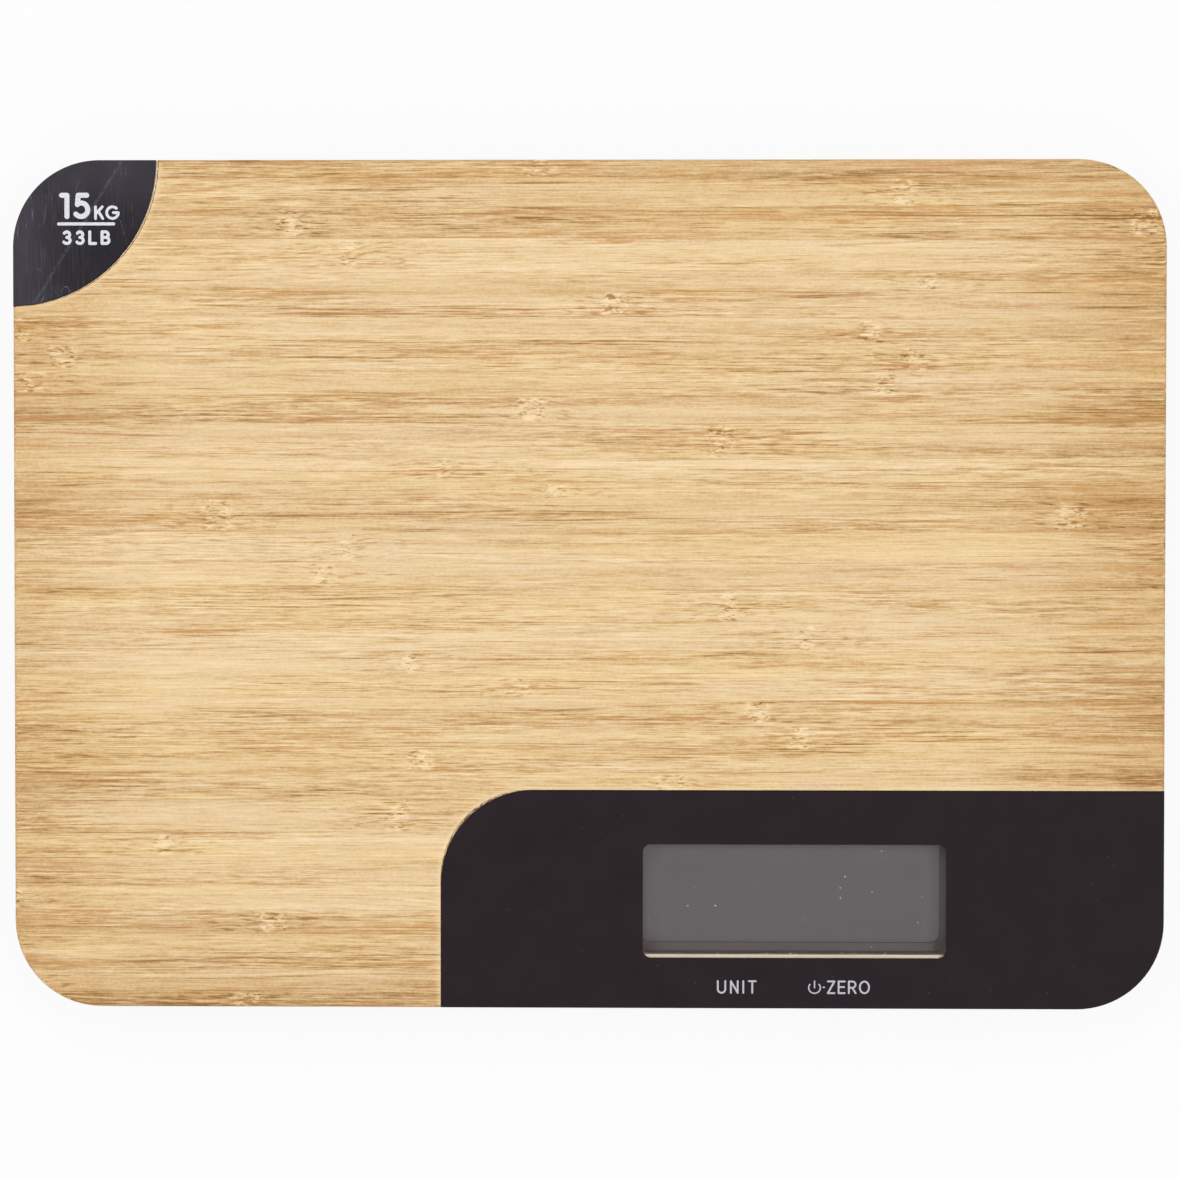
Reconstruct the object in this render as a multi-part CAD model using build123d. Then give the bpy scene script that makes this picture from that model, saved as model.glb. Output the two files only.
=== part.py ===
from build123d import *

import math
import os

# Flat kitchen scale: a bamboo weighing platform glued to a black case that stands on four sensing feet.
# Millimetres. Origin on the floor under the middle of the platform, +X right, +Y away from the user, +Z up.

# Bamboo platform
PLATFORM_LENGTH = 230.0
PLATFORM_WIDTH = 169.5
PLATFORM_THICKNESS = 5.0
PLATFORM_CORNER_RADIUS = 17.4
PLATFORM_EDGE_ROUND = 0.8

# Black films let into the platform's top
FILM_THICKNESS = 0.5
FILM_GAP = 0.15
FILM_EDGE_SETBACK = 0.05
FILM_EDGE_CHAMFER = 0.12
PANEL_LENGTH = 144.5
PANEL_WIDTH = 43.8
PANEL_CORNER_RADIUS = 17.9
PANEL_CORNER_SPARE = 0.8
BADGE_RADIUS = 29.3
BADGE_SHIFT = 0.45

# Display window in the panel, and the cut under it in the bamboo
WINDOW_LENGTH = 60.6
WINDOW_WIDTH = 22.75
WINDOW_FROM_RIGHT = 43.4
WINDOW_FROM_FRONT = 10.15
WINDOW_CORNER_RADIUS = 1.6
WINDOW_FIT = 0.05
CUT_HIDDEN_MARGIN = 0.5
CUT_FRONT_LEDGE = 0.9

# Display
VIEW_HIDDEN_MARGIN = 0.6
VIEW_RIGHT_BAND = 0.9
VIEW_FRONT_BAND = 2.5
VIEW_CORNER_RADIUS = 1.8
GLASS_THICKNESS = 1.1
GLASS_BORDER = 2.2
GLASS_CONTACT_LEDGE = 2.6
GLASS_FIT = 0.2
REFLECTOR_THICKNESS = 0.3
REFLECTOR_INSET = 0.5
DISPLAY_STANDOFF = 1.0
BEZEL_LIP = 1.2
BEZEL_WALL = 1.2
BEZEL_FIT = 0.3
CONTACT_STRIP_SIDE_GAP = 0.3
CONTACT_STRIP_END_INSET = 2.0

# Keys under the film
UNIT_KEY_FROM_RIGHT = 85.3
ZERO_KEY_FROM_RIGHT = 64.8
KEY_FROM_FRONT = 4.95
KEY_TRAVEL = 0.25
PLUNGER_RADIUS = 1.5
PLUNGER_HOLE_GAP = 0.3
PLUNGER_FILM_GAP = 0.05
PLUNGER_BAR_LENGTH = 7.0
PLUNGER_BAR_WIDTH = 3.0
PLUNGER_BAR_THICKNESS = 0.8
PLUNGER_BAR_GAP = 0.1
SWITCH_LENGTH = 4.2
SWITCH_WIDTH = 3.2
SWITCH_HEIGHT = 1.5
SWITCH_STEM_RADIUS = 0.8
SWITCH_STEM_GAP = 0.1
SWITCH_STEM_EXPOSED = 0.45
SWITCH_STEM_SUNK = 0.5

# Case
GROUND_CLEARANCE = 3.0
COVER_THICKNESS = 2.0
COVER_INSET = 1.25
COVER_EDGE_ROUND = 1.2
COVER_LIP_HEIGHT = 1.4
COVER_LIP_THICKNESS = 1.2
COVER_LIP_GAP = 0.2
CHASSIS_INSET = 1.0
CHASSIS_PLATE = 1.4
CHASSIS_EDGE_ROUND = 0.4
SKIRT_THICKNESS = 1.8
ADHESIVE_THICKNESS = 0.3
ADHESIVE_INSET = 8.0
ADHESIVE_GAP = 0.3
ADHESIVE_ZONE_MARGIN = 3.0

# Screws
SCREW_FIT = 0.05
SCREW_CLEARANCE = 0.3
SCREW_HEAD_HEIGHT = 1.0
SCREW_CROSS_DEPTH = 0.45
SCREW_CROSS_WIDTH = 0.6
SCREW_CROSS_SHARE = 0.6
SCREW_TIP_ROOM = 0.4
COVER_SCREW_RADIUS = 1.1
COVER_SCREW_HEAD_RADIUS = 2.2
COVER_SCREW_REACH = 5.0
COVER_SCREW_SUNK = 0.1
COVER_BOSS_RADIUS = 3.0
CORNER_SCREW_FROM_SIDE = 18.0
CORNER_SCREW_FROM_END = 7.75
SIDE_SCREW_FROM_SIDE = 8.0
BOARD_SCREW_RADIUS = 0.9
BOARD_SCREW_HEAD_RADIUS = 1.8
BOARD_SCREW_REACH = 3.6
BOARD_BOSS_RADIUS = 2.2
BOARD_BOSS_INSET = 2.9
CELL_SCREW_RADIUS = 0.8
CELL_SCREW_HEAD_RADIUS = 1.5
CELL_SCREW_REACH = 3.8
CELL_SCREW_INSET = 1.6

# Circuit board
CIRCUIT_BOARD_THICKNESS = 1.4
CIRCUIT_BOARD_LEFT_WING = 16.0
CIRCUIT_BOARD_RIGHT_WING = 5.5
CIRCUIT_BOARD_BACK_WING = 6.4
CIRCUIT_BOARD_SKIRT_GAP = 0.35
DECK_CLEARANCE = 0.6
CHIP_RADIUS = 3.6
CHIP_HEIGHT = 1.2
CHIP_ROUND = 0.8
CHIP_FROM_BOARD_END = 10.0
COMPONENT_LENGTH = 2.0
COMPONENT_WIDTH = 1.25
COMPONENT_HEIGHT = 0.9
COMPONENT_PITCH = 3.0
CRYSTAL_LENGTH = 7.0
CRYSTAL_RADIUS = 1.2
CRYSTAL_FROM_CHIP = 9.0

# Sensing feet
FOOT_FROM_SIDE = 21.0
FOOT_FROM_END = 26.0
FOOT_TRAVEL = 0.4
FOOT_STOP_CLEARANCE = 0.1
PAD_RADIUS = 9.5
PAD_THICKNESS = 2.0
PAD_EXPOSED = 0.8
PAD_EDGE_ROUND = 0.4
PAD_FIT = 0.1
PAD_GROOVES = 2
PAD_GROOVE_PITCH = 2.8
PAD_GROOVE_WIDTH = 0.8
PAD_GROOVE_DEPTH = 0.4
CUP_RADIUS = 11.5
CUP_EDGE_ROUND = 0.4
STEM_RADIUS = 4.0
STEM_HOLE_GAP = 0.5
STAKE_RADIUS = 1.5
STAKE_FIT = 0.1
STAKE_HEAD_RADIUS = 2.6
STAKE_HEAD_HEIGHT = 0.8

# Load cells
CELL_SIZE = 24.0
CELL_THICKNESS = 1.6
CELL_RIM = 4.0
CELL_SLOT = 1.8
CELL_TONGUE_WIDTH = 9.0
CELL_TONGUE_REACH = 4.5
CELL_FIT = 0.3
HOLDER_FRAME = 3.0
HOLDER_LIP_THICKNESS = 1.2
HOLDER_LIP_DEPTH = 1.2
GAUGE_LENGTH = 3.0
GAUGE_WIDTH = 7.0
GAUGE_HEIGHT = 1.0
GAUGE_FROM_RIM = 0.8

# Leads
CELL_LEAD_RADIUS = 0.7
CELL_LEAD_NOTCH_GAP = 0.4
BATTERY_LEAD_RADIUS = 0.5
LEAD_ON_BOARD = 3.0
LEAD_BEND_SHARE = 0.45
CELL_LEAD_FIRST_RUN = 12.0
CELL_LEAD_LAST_RUN = 8.0
CELL_LEAD_WELL_GAP = 14.0
CELL_LEAD_FROM_BATTERY_LEAD = 10.8
CELL_LEAD_SWAY = 6.0
CELL_LEAD_PAST_WELL = 20.0
CELL_LEAD_FAR_FROM_CHIP = 8.0
CELL_LEAD_NEAR_FROM_CHIP = 3.0
BATTERY_LEAD_FIRST_RUN = 12.0
BATTERY_LEAD_LAST_RUN = 10.0
BATTERY_LEAD_SPACING = 12.0

# Coin cell and its bayonet cap
BATTERY_X = 0.0
BATTERY_Y = 12.0
COIN_RADIUS = 10.0
COIN_THICKNESS = 3.2
COIN_RIM_HEIGHT = 2.8
COIN_FACE_RADIUS = 8.6
COIN_GAP = 0.4
COIN_PLAY = 0.1
WELL_RADIUS = 15.6
WELL_ROOF = 1.2
WELL_HEADROOM = 0.4
CAP_RADIUS = 14.0
CAP_FLANGE_THICKNESS = 1.0
CAP_GAP = 0.3
CAP_PLAY = 0.1
CAP_EDGE_ROUND = 0.25
CAP_HOLLOW_RADIUS = 8.4
CAP_HOLLOW_DEPTH = 1.0
CAP_SLOT_LENGTH = 14.0
CAP_SLOT_WIDTH = 2.2
CAP_SLOT_DEPTH = 0.7
HUB_RADIUS = 11.6
BAYONET_SHELF = 0.9
LUG_RADIUS = 13.2
LUG_THICKNESS = 0.8
LUG_SPAN = 40.0
LUG_NOTCH_SPARE = 5.0
CAP_TURN = 60.0
CAP_MARK_RADIUS = 0.7
CAP_MARK_DEPTH = 0.3
CAP_MARK_FROM_EDGE = 1.6

# Battery contacts
CONTACT_THICKNESS = 0.3
CONTACT_WIDTH = 4.0
CONTACT_SIDE_HEIGHT = 1.8
CONTACT_GAP = 0.1
CONTACT_SLOT_GAP = 0.3
CONTACT_REACH = 4.0
POSITIVE_CONTACT_ANGLE = 250.0
NEGATIVE_CONTACT_ANGLE = 290.0

# Heights, from the floor up
cover_bottom = GROUND_CLEARANCE
cover_top = cover_bottom + COVER_THICKNESS
cup_top = cover_bottom - FOOT_TRAVEL - FOOT_STOP_CLEARANCE
deck = cover_top + DECK_CLEARANCE + SCREW_HEAD_HEIGHT + max(CELL_THICKNESS, CIRCUIT_BOARD_THICKNESS)
cell_bottom = deck - CELL_THICKNESS
circuit_board_bottom = deck - CIRCUIT_BOARD_THICKNESS
flange_top = cover_bottom + CAP_FLANGE_THICKNESS
shelf_bottom = flange_top + CAP_PLAY
shelf_top = shelf_bottom + BAYONET_SHELF
lug_bottom = shelf_top + CAP_PLAY
lug_top = lug_bottom + LUG_THICKNESS
coin_bottom = lug_top + COIN_PLAY
coin_top = coin_bottom + COIN_THICKNESS
well_ceiling = coin_top + CONTACT_GAP + CONTACT_THICKNESS
well_top = well_ceiling + WELL_ROOF
display_stack = DISPLAY_STANDOFF + REFLECTOR_THICKNESS + 2 * GLASS_THICKNESS + BEZEL_LIP
chassis_top = max(well_top + WELL_HEADROOM + CHASSIS_PLATE, deck + display_stack)
plate_bottom = chassis_top - CHASSIS_PLATE
glass_top = chassis_top - BEZEL_LIP
glass_middle = glass_top - GLASS_THICKNESS
glass_bottom = glass_middle - GLASS_THICKNESS
platform_top = chassis_top + PLATFORM_THICKNESS
film_bottom = platform_top - FILM_THICKNESS
switch_top = deck + SWITCH_HEIGHT
stem_top = switch_top + SWITCH_STEM_EXPOSED

# Places in plan
right = PLATFORM_LENGTH / 2
back = PLATFORM_WIDTH / 2
left = -right
front = -back
panel_left = right - PANEL_LENGTH
panel_back = front + PANEL_WIDTH
window_right = right - WINDOW_FROM_RIGHT
window_left = window_right - WINDOW_LENGTH
window_front = front + WINDOW_FROM_FRONT
window_back = window_front + WINDOW_WIDTH
view_left = window_left - VIEW_HIDDEN_MARGIN
view_right = window_right - VIEW_RIGHT_BAND
view_front = window_front + VIEW_FRONT_BAND
view_back = window_back + VIEW_HIDDEN_MARGIN
glass_left = view_left - GLASS_BORDER
glass_right = view_right + GLASS_BORDER
glass_front = view_front - GLASS_BORDER
glass_back = view_back + GLASS_BORDER
ledge_back = glass_back + GLASS_CONTACT_LEDGE
bezel_margin = GLASS_FIT + BEZEL_WALL
bezel_left = glass_left - bezel_margin
bezel_right = glass_right + bezel_margin
bezel_front = glass_front - bezel_margin
bezel_back = ledge_back + bezel_margin
circuit_left = bezel_left - CIRCUIT_BOARD_LEFT_WING
circuit_right = bezel_right + CIRCUIT_BOARD_RIGHT_WING
circuit_front = front + CHASSIS_INSET + SKIRT_THICKNESS + CIRCUIT_BOARD_SKIRT_GAP
circuit_back = bezel_back + CIRCUIT_BOARD_BACK_WING
chip_x = circuit_left + CHIP_FROM_BOARD_END
chip_y = (circuit_front + circuit_back) / 2
key_y = front + KEY_FROM_FRONT
unit_key_x = right - UNIT_KEY_FROM_RIGHT
zero_key_x = right - ZERO_KEY_FROM_RIGHT
foot_x = right - FOOT_FROM_SIDE
foot_y = back - FOOT_FROM_END
tongue_root = CELL_SIZE / 2 - CELL_RIM
gauge_start = tongue_root - GAUGE_FROM_RIM - GAUGE_LENGTH
gauge_end = gauge_start + GAUGE_LENGTH

FEET = {
    "front_left": (-foot_x, -foot_y),
    "front_right": (foot_x, -foot_y),
    "back_left": (-foot_x, foot_y),
    "back_right": (foot_x, foot_y),
}

corner_screw_x = right - CORNER_SCREW_FROM_SIDE
corner_screw_y = back - CORNER_SCREW_FROM_END
side_screw_x = right - SIDE_SCREW_FROM_SIDE
COVER_SCREWS = [
    (-corner_screw_x, -corner_screw_y),
    (corner_screw_x, -corner_screw_y),
    (-side_screw_x, 0.0),
    (side_screw_x, 0.0),
    (-corner_screw_x, corner_screw_y),
    (corner_screw_x, corner_screw_y),
]

BOARD_SCREWS = [
    (circuit_left + BOARD_BOSS_INSET, circuit_front + BOARD_BOSS_INSET),
    (circuit_right - BOARD_BOSS_INSET, circuit_front + BOARD_BOSS_INSET),
    (circuit_left + BOARD_BOSS_INSET, circuit_back - BOARD_BOSS_INSET),
    (circuit_right - BOARD_BOSS_INSET, circuit_back - BOARD_BOSS_INSET),
]


def rect(x_low, x_high, y_low, y_high):
    """Rectangle face between two corners."""
    return Pos((x_low + x_high) / 2, (y_low + y_high) / 2) * Rectangle(x_high - x_low, y_high - y_low)


def round_rect(x_low, x_high, y_low, y_high, radius):
    """Rectangle face between two corners with rounded corners."""
    face = RectangleRounded(x_high - x_low, y_high - y_low, radius)
    return Pos((x_low + x_high) / 2, (y_low + y_high) / 2) * face


def prism(face, z_low, z_high):
    """Upright solid on a plan face between two heights."""
    return extrude(Pos(0, 0, z_low) * face, amount=z_high - z_low)


def rod(x, y, radius, z_low, z_high):
    """Upright round bar."""
    return prism(Pos(x, y) * Circle(radius), z_low, z_high)


def block(x_low, x_high, y_low, y_high, z_low, z_high):
    """Box between two corners."""
    return prism(rect(x_low, x_high, y_low, y_high), z_low, z_high)


def outline(inset):
    """Plan of the whole scale, moved inwards by an inset."""
    radius = PLATFORM_CORNER_RADIUS - inset
    return round_rect(left + inset, right - inset, front + inset, back - inset, radius)


def panel_plan(setback, gap, radius):
    """Plan of the control panel or its pocket: the platform's front right corner, round at its inner corner."""
    beyond = 2 * PLATFORM_CORNER_RADIUS
    zone = round_rect(panel_left + gap, right + beyond, front - beyond, panel_back - gap, radius)
    return outline(setback) & zone


def badge_plan(setback, gap, shift):
    """Plan of the corner badge or its pocket: a quarter disc at the platform's sharp back left corner."""
    return outline(setback) & (Pos(left - shift, back) * Circle(BADGE_RADIUS - gap))


def window_plan(inset):
    """Plan of the display window."""
    radius = WINDOW_CORNER_RADIUS - inset
    return round_rect(
        window_left + inset, window_right - inset, window_front + inset, window_back - inset, radius
    )


def bezel_plan(margin):
    """Plan of the bezel's outside, widened by a margin."""
    return rect(bezel_left - margin, bezel_right + margin, bezel_front - margin, bezel_back + margin)


def adhesive_plan(gap):
    """Plan of the adhesive sheet: the chassis plate less its edge and the control corner."""
    zone_left = circuit_left - ADHESIVE_ZONE_MARGIN - gap
    zone_back = circuit_back + ADHESIVE_ZONE_MARGIN + gap
    zone = rect(zone_left, right, front, zone_back)
    return outline(ADHESIVE_INSET + gap) - zone


def top_edges(solid):
    """Edges of a solid's highest face."""
    return solid.faces().sort_by(Axis.Z)[-1].edges()


def bottom_edges(solid):
    """Edges of a solid's lowest face."""
    return solid.faces().sort_by(Axis.Z)[0].edges()


def at_foot(shape, x, y):
    """Shape drawn with +X inwards, set at a foot so that it points to the middle of the scale."""
    turn = 0 if x < 0 else 180
    return Pos(x, y) * Rot(0, 0, turn) * shape


def at_battery(shape, angle=0.0):
    """Shape drawn about the battery's axis, turned to an angle."""
    return Pos(BATTERY_X, BATTERY_Y) * Rot(0, 0, angle) * shape


def wedge(inner_radius, outer_radius, span):
    """Ring sector face about the origin, centred on +X."""
    reach = 2 * outer_radius
    half = math.radians(span / 2)
    corner = (reach * math.cos(half), reach * math.sin(half))
    sector = make_face(Polyline((0, 0), (corner[0], -corner[1]), corner, close=True))
    return (Circle(outer_radius) - Circle(inner_radius)) & sector


def screw(x, y, seat, shank_radius, head_radius, reach):
    """Cross-recess screw driven upwards, with its head under the seat."""
    head_bottom = seat - SCREW_HEAD_HEIGHT
    body = rod(x, y, head_radius, head_bottom, seat) + rod(x, y, shank_radius, seat, seat + reach)
    arm = head_radius * SCREW_CROSS_SHARE
    half = SCREW_CROSS_WIDTH / 2
    recess_top = head_bottom + SCREW_CROSS_DEPTH
    body -= block(x - arm, x + arm, y - half, y + half, head_bottom, recess_top)
    body -= block(x - half, x + half, y - arm, y + arm, head_bottom, recess_top)
    return body


def lead(points, radius):
    """Round lead at the deck's height along plan points, bent as widely as its runs allow."""
    z = deck + radius
    spots = [Vector(x, y, z) for x, y in points]
    if len(spots) == 2:
        path = Line(spots[0], spots[1])
    else:
        runs = [end - start for start, end in zip(spots, spots[1:])]
        rooms = []
        for before, after in zip(runs, runs[1:]):
            half_turn = math.radians(before.get_angle(after) / 2)
            rooms.append(LEAD_BEND_SHARE * min(before.length, after.length) / math.tan(half_turn))
        path = FilletPolyline(*spots, radius=rooms)
    section = Plane(origin=path @ 0, z_dir=path % 0) * Circle(radius)
    return sweep(section, path=path)


def make_platform():
    board = prism(outline(0), chassis_top, platform_top)
    board = fillet(top_edges(board) + bottom_edges(board), PLATFORM_EDGE_ROUND)
    board -= prism(panel_plan(0, 0, PANEL_CORNER_RADIUS), film_bottom, platform_top)
    board -= prism(badge_plan(0, 0, 0), film_bottom, platform_top)
    cut = round_rect(
        window_left - CUT_HIDDEN_MARGIN,
        window_right + CUT_HIDDEN_MARGIN,
        window_front + CUT_FRONT_LEDGE,
        window_back + CUT_HIDDEN_MARGIN,
        WINDOW_CORNER_RADIUS,
    )
    board -= prism(cut, chassis_top, film_bottom)
    for x in (unit_key_x, zero_key_x):
        board -= rod(x, key_y, PLUNGER_RADIUS + PLUNGER_HOLE_GAP, chassis_top, film_bottom)
    return board


def make_panel():
    corner = PANEL_CORNER_RADIUS + PANEL_CORNER_SPARE
    film = prism(panel_plan(FILM_EDGE_SETBACK, FILM_GAP, corner), film_bottom, platform_top)
    film = chamfer(top_edges(film), FILM_EDGE_CHAMFER)
    return film - prism(window_plan(0), film_bottom, platform_top)


def make_window():
    return prism(window_plan(WINDOW_FIT), film_bottom, platform_top)


def make_badge():
    film = prism(badge_plan(FILM_EDGE_SETBACK, FILM_GAP, BADGE_SHIFT), film_bottom, platform_top)
    return chamfer(top_edges(film), FILM_EDGE_CHAMFER)


def make_chassis():
    shell = prism(outline(CHASSIS_INSET), cover_top, chassis_top)
    shell = fillet(top_edges(shell), CHASSIS_EDGE_ROUND)
    shell -= prism(outline(CHASSIS_INSET + SKIRT_THICKNESS), cover_top, plate_bottom)
    for x, y in COVER_SCREWS:
        shell += rod(x, y, COVER_BOSS_RADIUS, cover_top, plate_bottom)
    for x, y in BOARD_SCREWS:
        shell += rod(x, y, BOARD_BOSS_RADIUS, deck, plate_bottom)
    for x, y in FEET.values():
        shell += at_foot(make_holder(), x, y)
    shell -= prism(bezel_plan(BEZEL_FIT), plate_bottom, chassis_top)
    shell -= prism(adhesive_plan(0), chassis_top - ADHESIVE_THICKNESS, chassis_top)
    for x in (unit_key_x, zero_key_x):
        shell -= rod(x, key_y, PLUNGER_RADIUS + PLUNGER_HOLE_GAP, plate_bottom, chassis_top)
    cover_seat = cover_bottom + SCREW_HEAD_HEIGHT + COVER_SCREW_SUNK
    cover_tip = cover_seat + COVER_SCREW_REACH + SCREW_TIP_ROOM
    for x, y in COVER_SCREWS:
        shell -= rod(x, y, COVER_SCREW_RADIUS + SCREW_FIT, cover_top, cover_tip)
    board_tip = circuit_board_bottom + BOARD_SCREW_REACH + SCREW_TIP_ROOM
    for x, y in BOARD_SCREWS:
        shell -= rod(x, y, BOARD_SCREW_RADIUS + SCREW_FIT, deck, board_tip)
    cell_tip = cell_bottom + CELL_SCREW_REACH + SCREW_TIP_ROOM
    for x, y in FEET.values():
        for u, v in cell_screw_places():
            hole = rod(u, v, CELL_SCREW_RADIUS + SCREW_FIT, deck, cell_tip)
            shell -= at_foot(hole, x, y)
    return shell


def make_holder():
    """Frame and lip under the chassis plate that hold one load cell, with a notch for its lead."""
    seat = CELL_SIZE + 2 * CELL_FIT
    outside = seat + 2 * HOLDER_LIP_THICKNESS
    inside = CELL_SIZE - 2 * HOLDER_FRAME
    holder = prism(Rectangle(outside, outside) - Rectangle(inside, inside), deck, plate_bottom)
    holder += prism(Rectangle(outside, outside) - Rectangle(seat, seat), deck - HOLDER_LIP_DEPTH, deck)
    half = CELL_LEAD_RADIUS + CELL_LEAD_NOTCH_GAP
    notch_top = deck + 2 * CELL_LEAD_RADIUS + CELL_LEAD_NOTCH_GAP
    return holder - block(inside / 2, outside / 2, -half, half, deck, notch_top)


def cell_screw_places():
    """The two screw places of a load cell, in opposite corners."""
    reach = CELL_SIZE / 2 - CELL_SCREW_INSET
    return [(reach, reach), (-reach, -reach)]


def make_load_cell():
    """Steel plate with a tongue, free at the foot's axis, that bends under load."""
    tongue_half = CELL_TONGUE_WIDTH / 2
    slot_half = tongue_half + CELL_SLOT
    plan = Rectangle(CELL_SIZE, CELL_SIZE)
    plan -= rect(-CELL_TONGUE_REACH - CELL_SLOT, tongue_root, -slot_half, slot_half)
    plan += rect(-CELL_TONGUE_REACH, tongue_root, -tongue_half, tongue_half)
    plan -= Circle(STAKE_RADIUS + STAKE_FIT)
    for u, v in cell_screw_places():
        plan -= Pos(u, v) * Circle(CELL_SCREW_RADIUS + SCREW_CLEARANCE)
    return prism(plan, cell_bottom, deck)


def make_gauge_cover():
    half = GAUGE_WIDTH / 2
    return block(gauge_start, gauge_end, -half, half, deck, deck + GAUGE_HEIGHT)


def make_foot_cup():
    cup = rod(0, 0, CUP_RADIUS, PAD_EXPOSED, cup_top)
    cup = fillet(top_edges(cup) + bottom_edges(cup), CUP_EDGE_ROUND)
    cup -= rod(0, 0, PAD_RADIUS + PAD_FIT, PAD_EXPOSED, PAD_THICKNESS)
    cup += rod(0, 0, STEM_RADIUS, cup_top, cell_bottom)
    cup += rod(0, 0, STAKE_RADIUS, cell_bottom, deck)
    return cup + rod(0, 0, STAKE_HEAD_RADIUS, deck, deck + STAKE_HEAD_HEIGHT)


def make_foot_pad():
    pad = rod(0, 0, PAD_RADIUS, 0, PAD_THICKNESS)
    pad = fillet(bottom_edges(pad), PAD_EDGE_ROUND)
    for place in range(PAD_GROOVES):
        outer = (place + 1) * PAD_GROOVE_PITCH
        ring = Circle(outer) - Circle(outer - PAD_GROOVE_WIDTH)
        pad -= prism(ring, 0, PAD_GROOVE_DEPTH)
    return pad


def make_cover():
    cover = prism(outline(COVER_INSET), cover_bottom, cover_top)
    cover = fillet(bottom_edges(cover), COVER_EDGE_ROUND)
    lip_outside = CHASSIS_INSET + SKIRT_THICKNESS + COVER_LIP_GAP
    lip = outline(lip_outside) - outline(lip_outside + COVER_LIP_THICKNESS)
    cover += prism(lip, cover_top, cover_top + COVER_LIP_HEIGHT)
    cover += at_battery(rod(0, 0, WELL_RADIUS, cover_top, well_top))
    cover -= at_battery(make_well_space())
    for x, y in FEET.values():
        cover -= rod(x, y, STEM_RADIUS + STEM_HOLE_GAP, cover_bottom, cover_top)
    seat = cover_bottom + SCREW_HEAD_HEIGHT + COVER_SCREW_SUNK
    for x, y in COVER_SCREWS:
        cover -= rod(x, y, COVER_SCREW_HEAD_RADIUS + SCREW_CLEARANCE, cover_bottom, seat)
        cover -= rod(x, y, COVER_SCREW_RADIUS + SCREW_CLEARANCE, seat, cover_top)
    return cover


def make_well_space():
    """Everything taken out of the cover for the cap, the coin cell and its contacts."""
    space = rod(0, 0, CAP_RADIUS + CAP_GAP, cover_bottom, shelf_bottom)
    space += rod(0, 0, HUB_RADIUS + CAP_GAP, shelf_bottom, shelf_top)
    space += rod(0, 0, LUG_RADIUS + CAP_GAP, shelf_top, coin_bottom)
    space += rod(0, 0, COIN_RADIUS + COIN_GAP, coin_bottom, well_ceiling)
    notch_plan = wedge(HUB_RADIUS, LUG_RADIUS + CAP_GAP, LUG_SPAN + LUG_NOTCH_SPARE)
    notch = prism(notch_plan, shelf_bottom, shelf_top)
    for angle in (-CAP_TURN, 180 - CAP_TURN):
        space += Rot(0, 0, angle) * notch
    half = CONTACT_WIDTH / 2 + CONTACT_SLOT_GAP
    positive_low = coin_bottom + COIN_THICKNESS / 2 - CONTACT_SIDE_HEIGHT / 2 - CONTACT_SLOT_GAP
    positive_high = coin_bottom + COIN_THICKNESS / 2 + CONTACT_SIDE_HEIGHT / 2 + CONTACT_SLOT_GAP
    positive_slot = block(COIN_RADIUS / 2, WELL_RADIUS, -half, half, positive_low, positive_high)
    space += Rot(0, 0, POSITIVE_CONTACT_ANGLE) * positive_slot
    negative_low = well_ceiling - CONTACT_THICKNESS - CONTACT_SLOT_GAP
    negative_slot = block(0, WELL_RADIUS, -half, half, negative_low, well_ceiling)
    space += Rot(0, 0, NEGATIVE_CONTACT_ANGLE) * negative_slot
    for angle in (0, -CAP_TURN):
        space += cap_mark(CAP_RADIUS + CAP_GAP + CAP_MARK_FROM_EDGE, angle)
    return space


def make_cap():
    cap = rod(0, 0, CAP_RADIUS, cover_bottom, flange_top)
    cap = fillet(bottom_edges(cap), CAP_EDGE_ROUND)
    cap += rod(0, 0, HUB_RADIUS, flange_top, lug_top)
    lug = prism(wedge(CAP_HOLLOW_RADIUS, LUG_RADIUS, LUG_SPAN), lug_bottom, lug_top)
    for angle in (0, 180):
        cap += Rot(0, 0, angle) * lug
    cap -= rod(0, 0, CAP_HOLLOW_RADIUS, lug_top - CAP_HOLLOW_DEPTH, lug_top)
    half_length = CAP_SLOT_LENGTH / 2
    half_width = CAP_SLOT_WIDTH / 2
    slot_top = cover_bottom + CAP_SLOT_DEPTH
    cap -= block(-half_length, half_length, -half_width, half_width, cover_bottom, slot_top)
    return cap - cap_mark(CAP_RADIUS - CAP_MARK_FROM_EDGE, 0)


def cap_mark(reach, angle):
    """Round dimple that marks the cap's turn, on the cap and at its shut and open places on the cover."""
    return Rot(0, 0, angle) * rod(reach, 0, CAP_MARK_RADIUS, cover_bottom, cover_bottom + CAP_MARK_DEPTH)


def make_coin():
    coin = rod(0, 0, COIN_RADIUS, coin_bottom, coin_bottom + COIN_RIM_HEIGHT)
    return coin + rod(0, 0, COIN_FACE_RADIUS, coin_bottom + COIN_RIM_HEIGHT, coin_top)


def contact_tab(low):
    """Upright tab on the well's outside that takes the battery lead, from a height up past the lead."""
    half = CONTACT_WIDTH / 2
    inner = WELL_RADIUS + CONTACT_GAP
    high = max(deck + 2 * BATTERY_LEAD_RADIUS, well_ceiling)
    return block(inner, inner + CONTACT_THICKNESS, -half, half, min(low, deck), high)


def make_positive_contact():
    """Strip that presses on the coin cell's rim and leaves through the well's wall."""
    half = CONTACT_WIDTH / 2
    middle = coin_bottom + COIN_THICKNESS / 2
    inner = COIN_RADIUS + CONTACT_GAP
    low = middle - CONTACT_SIDE_HEIGHT / 2
    strip = block(inner, inner + CONTACT_THICKNESS, -half, half, low, low + CONTACT_SIDE_HEIGHT)
    strip += block(inner, WELL_RADIUS + CONTACT_GAP, -half, half, middle, middle + CONTACT_THICKNESS)
    return strip + contact_tab(middle)


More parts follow.
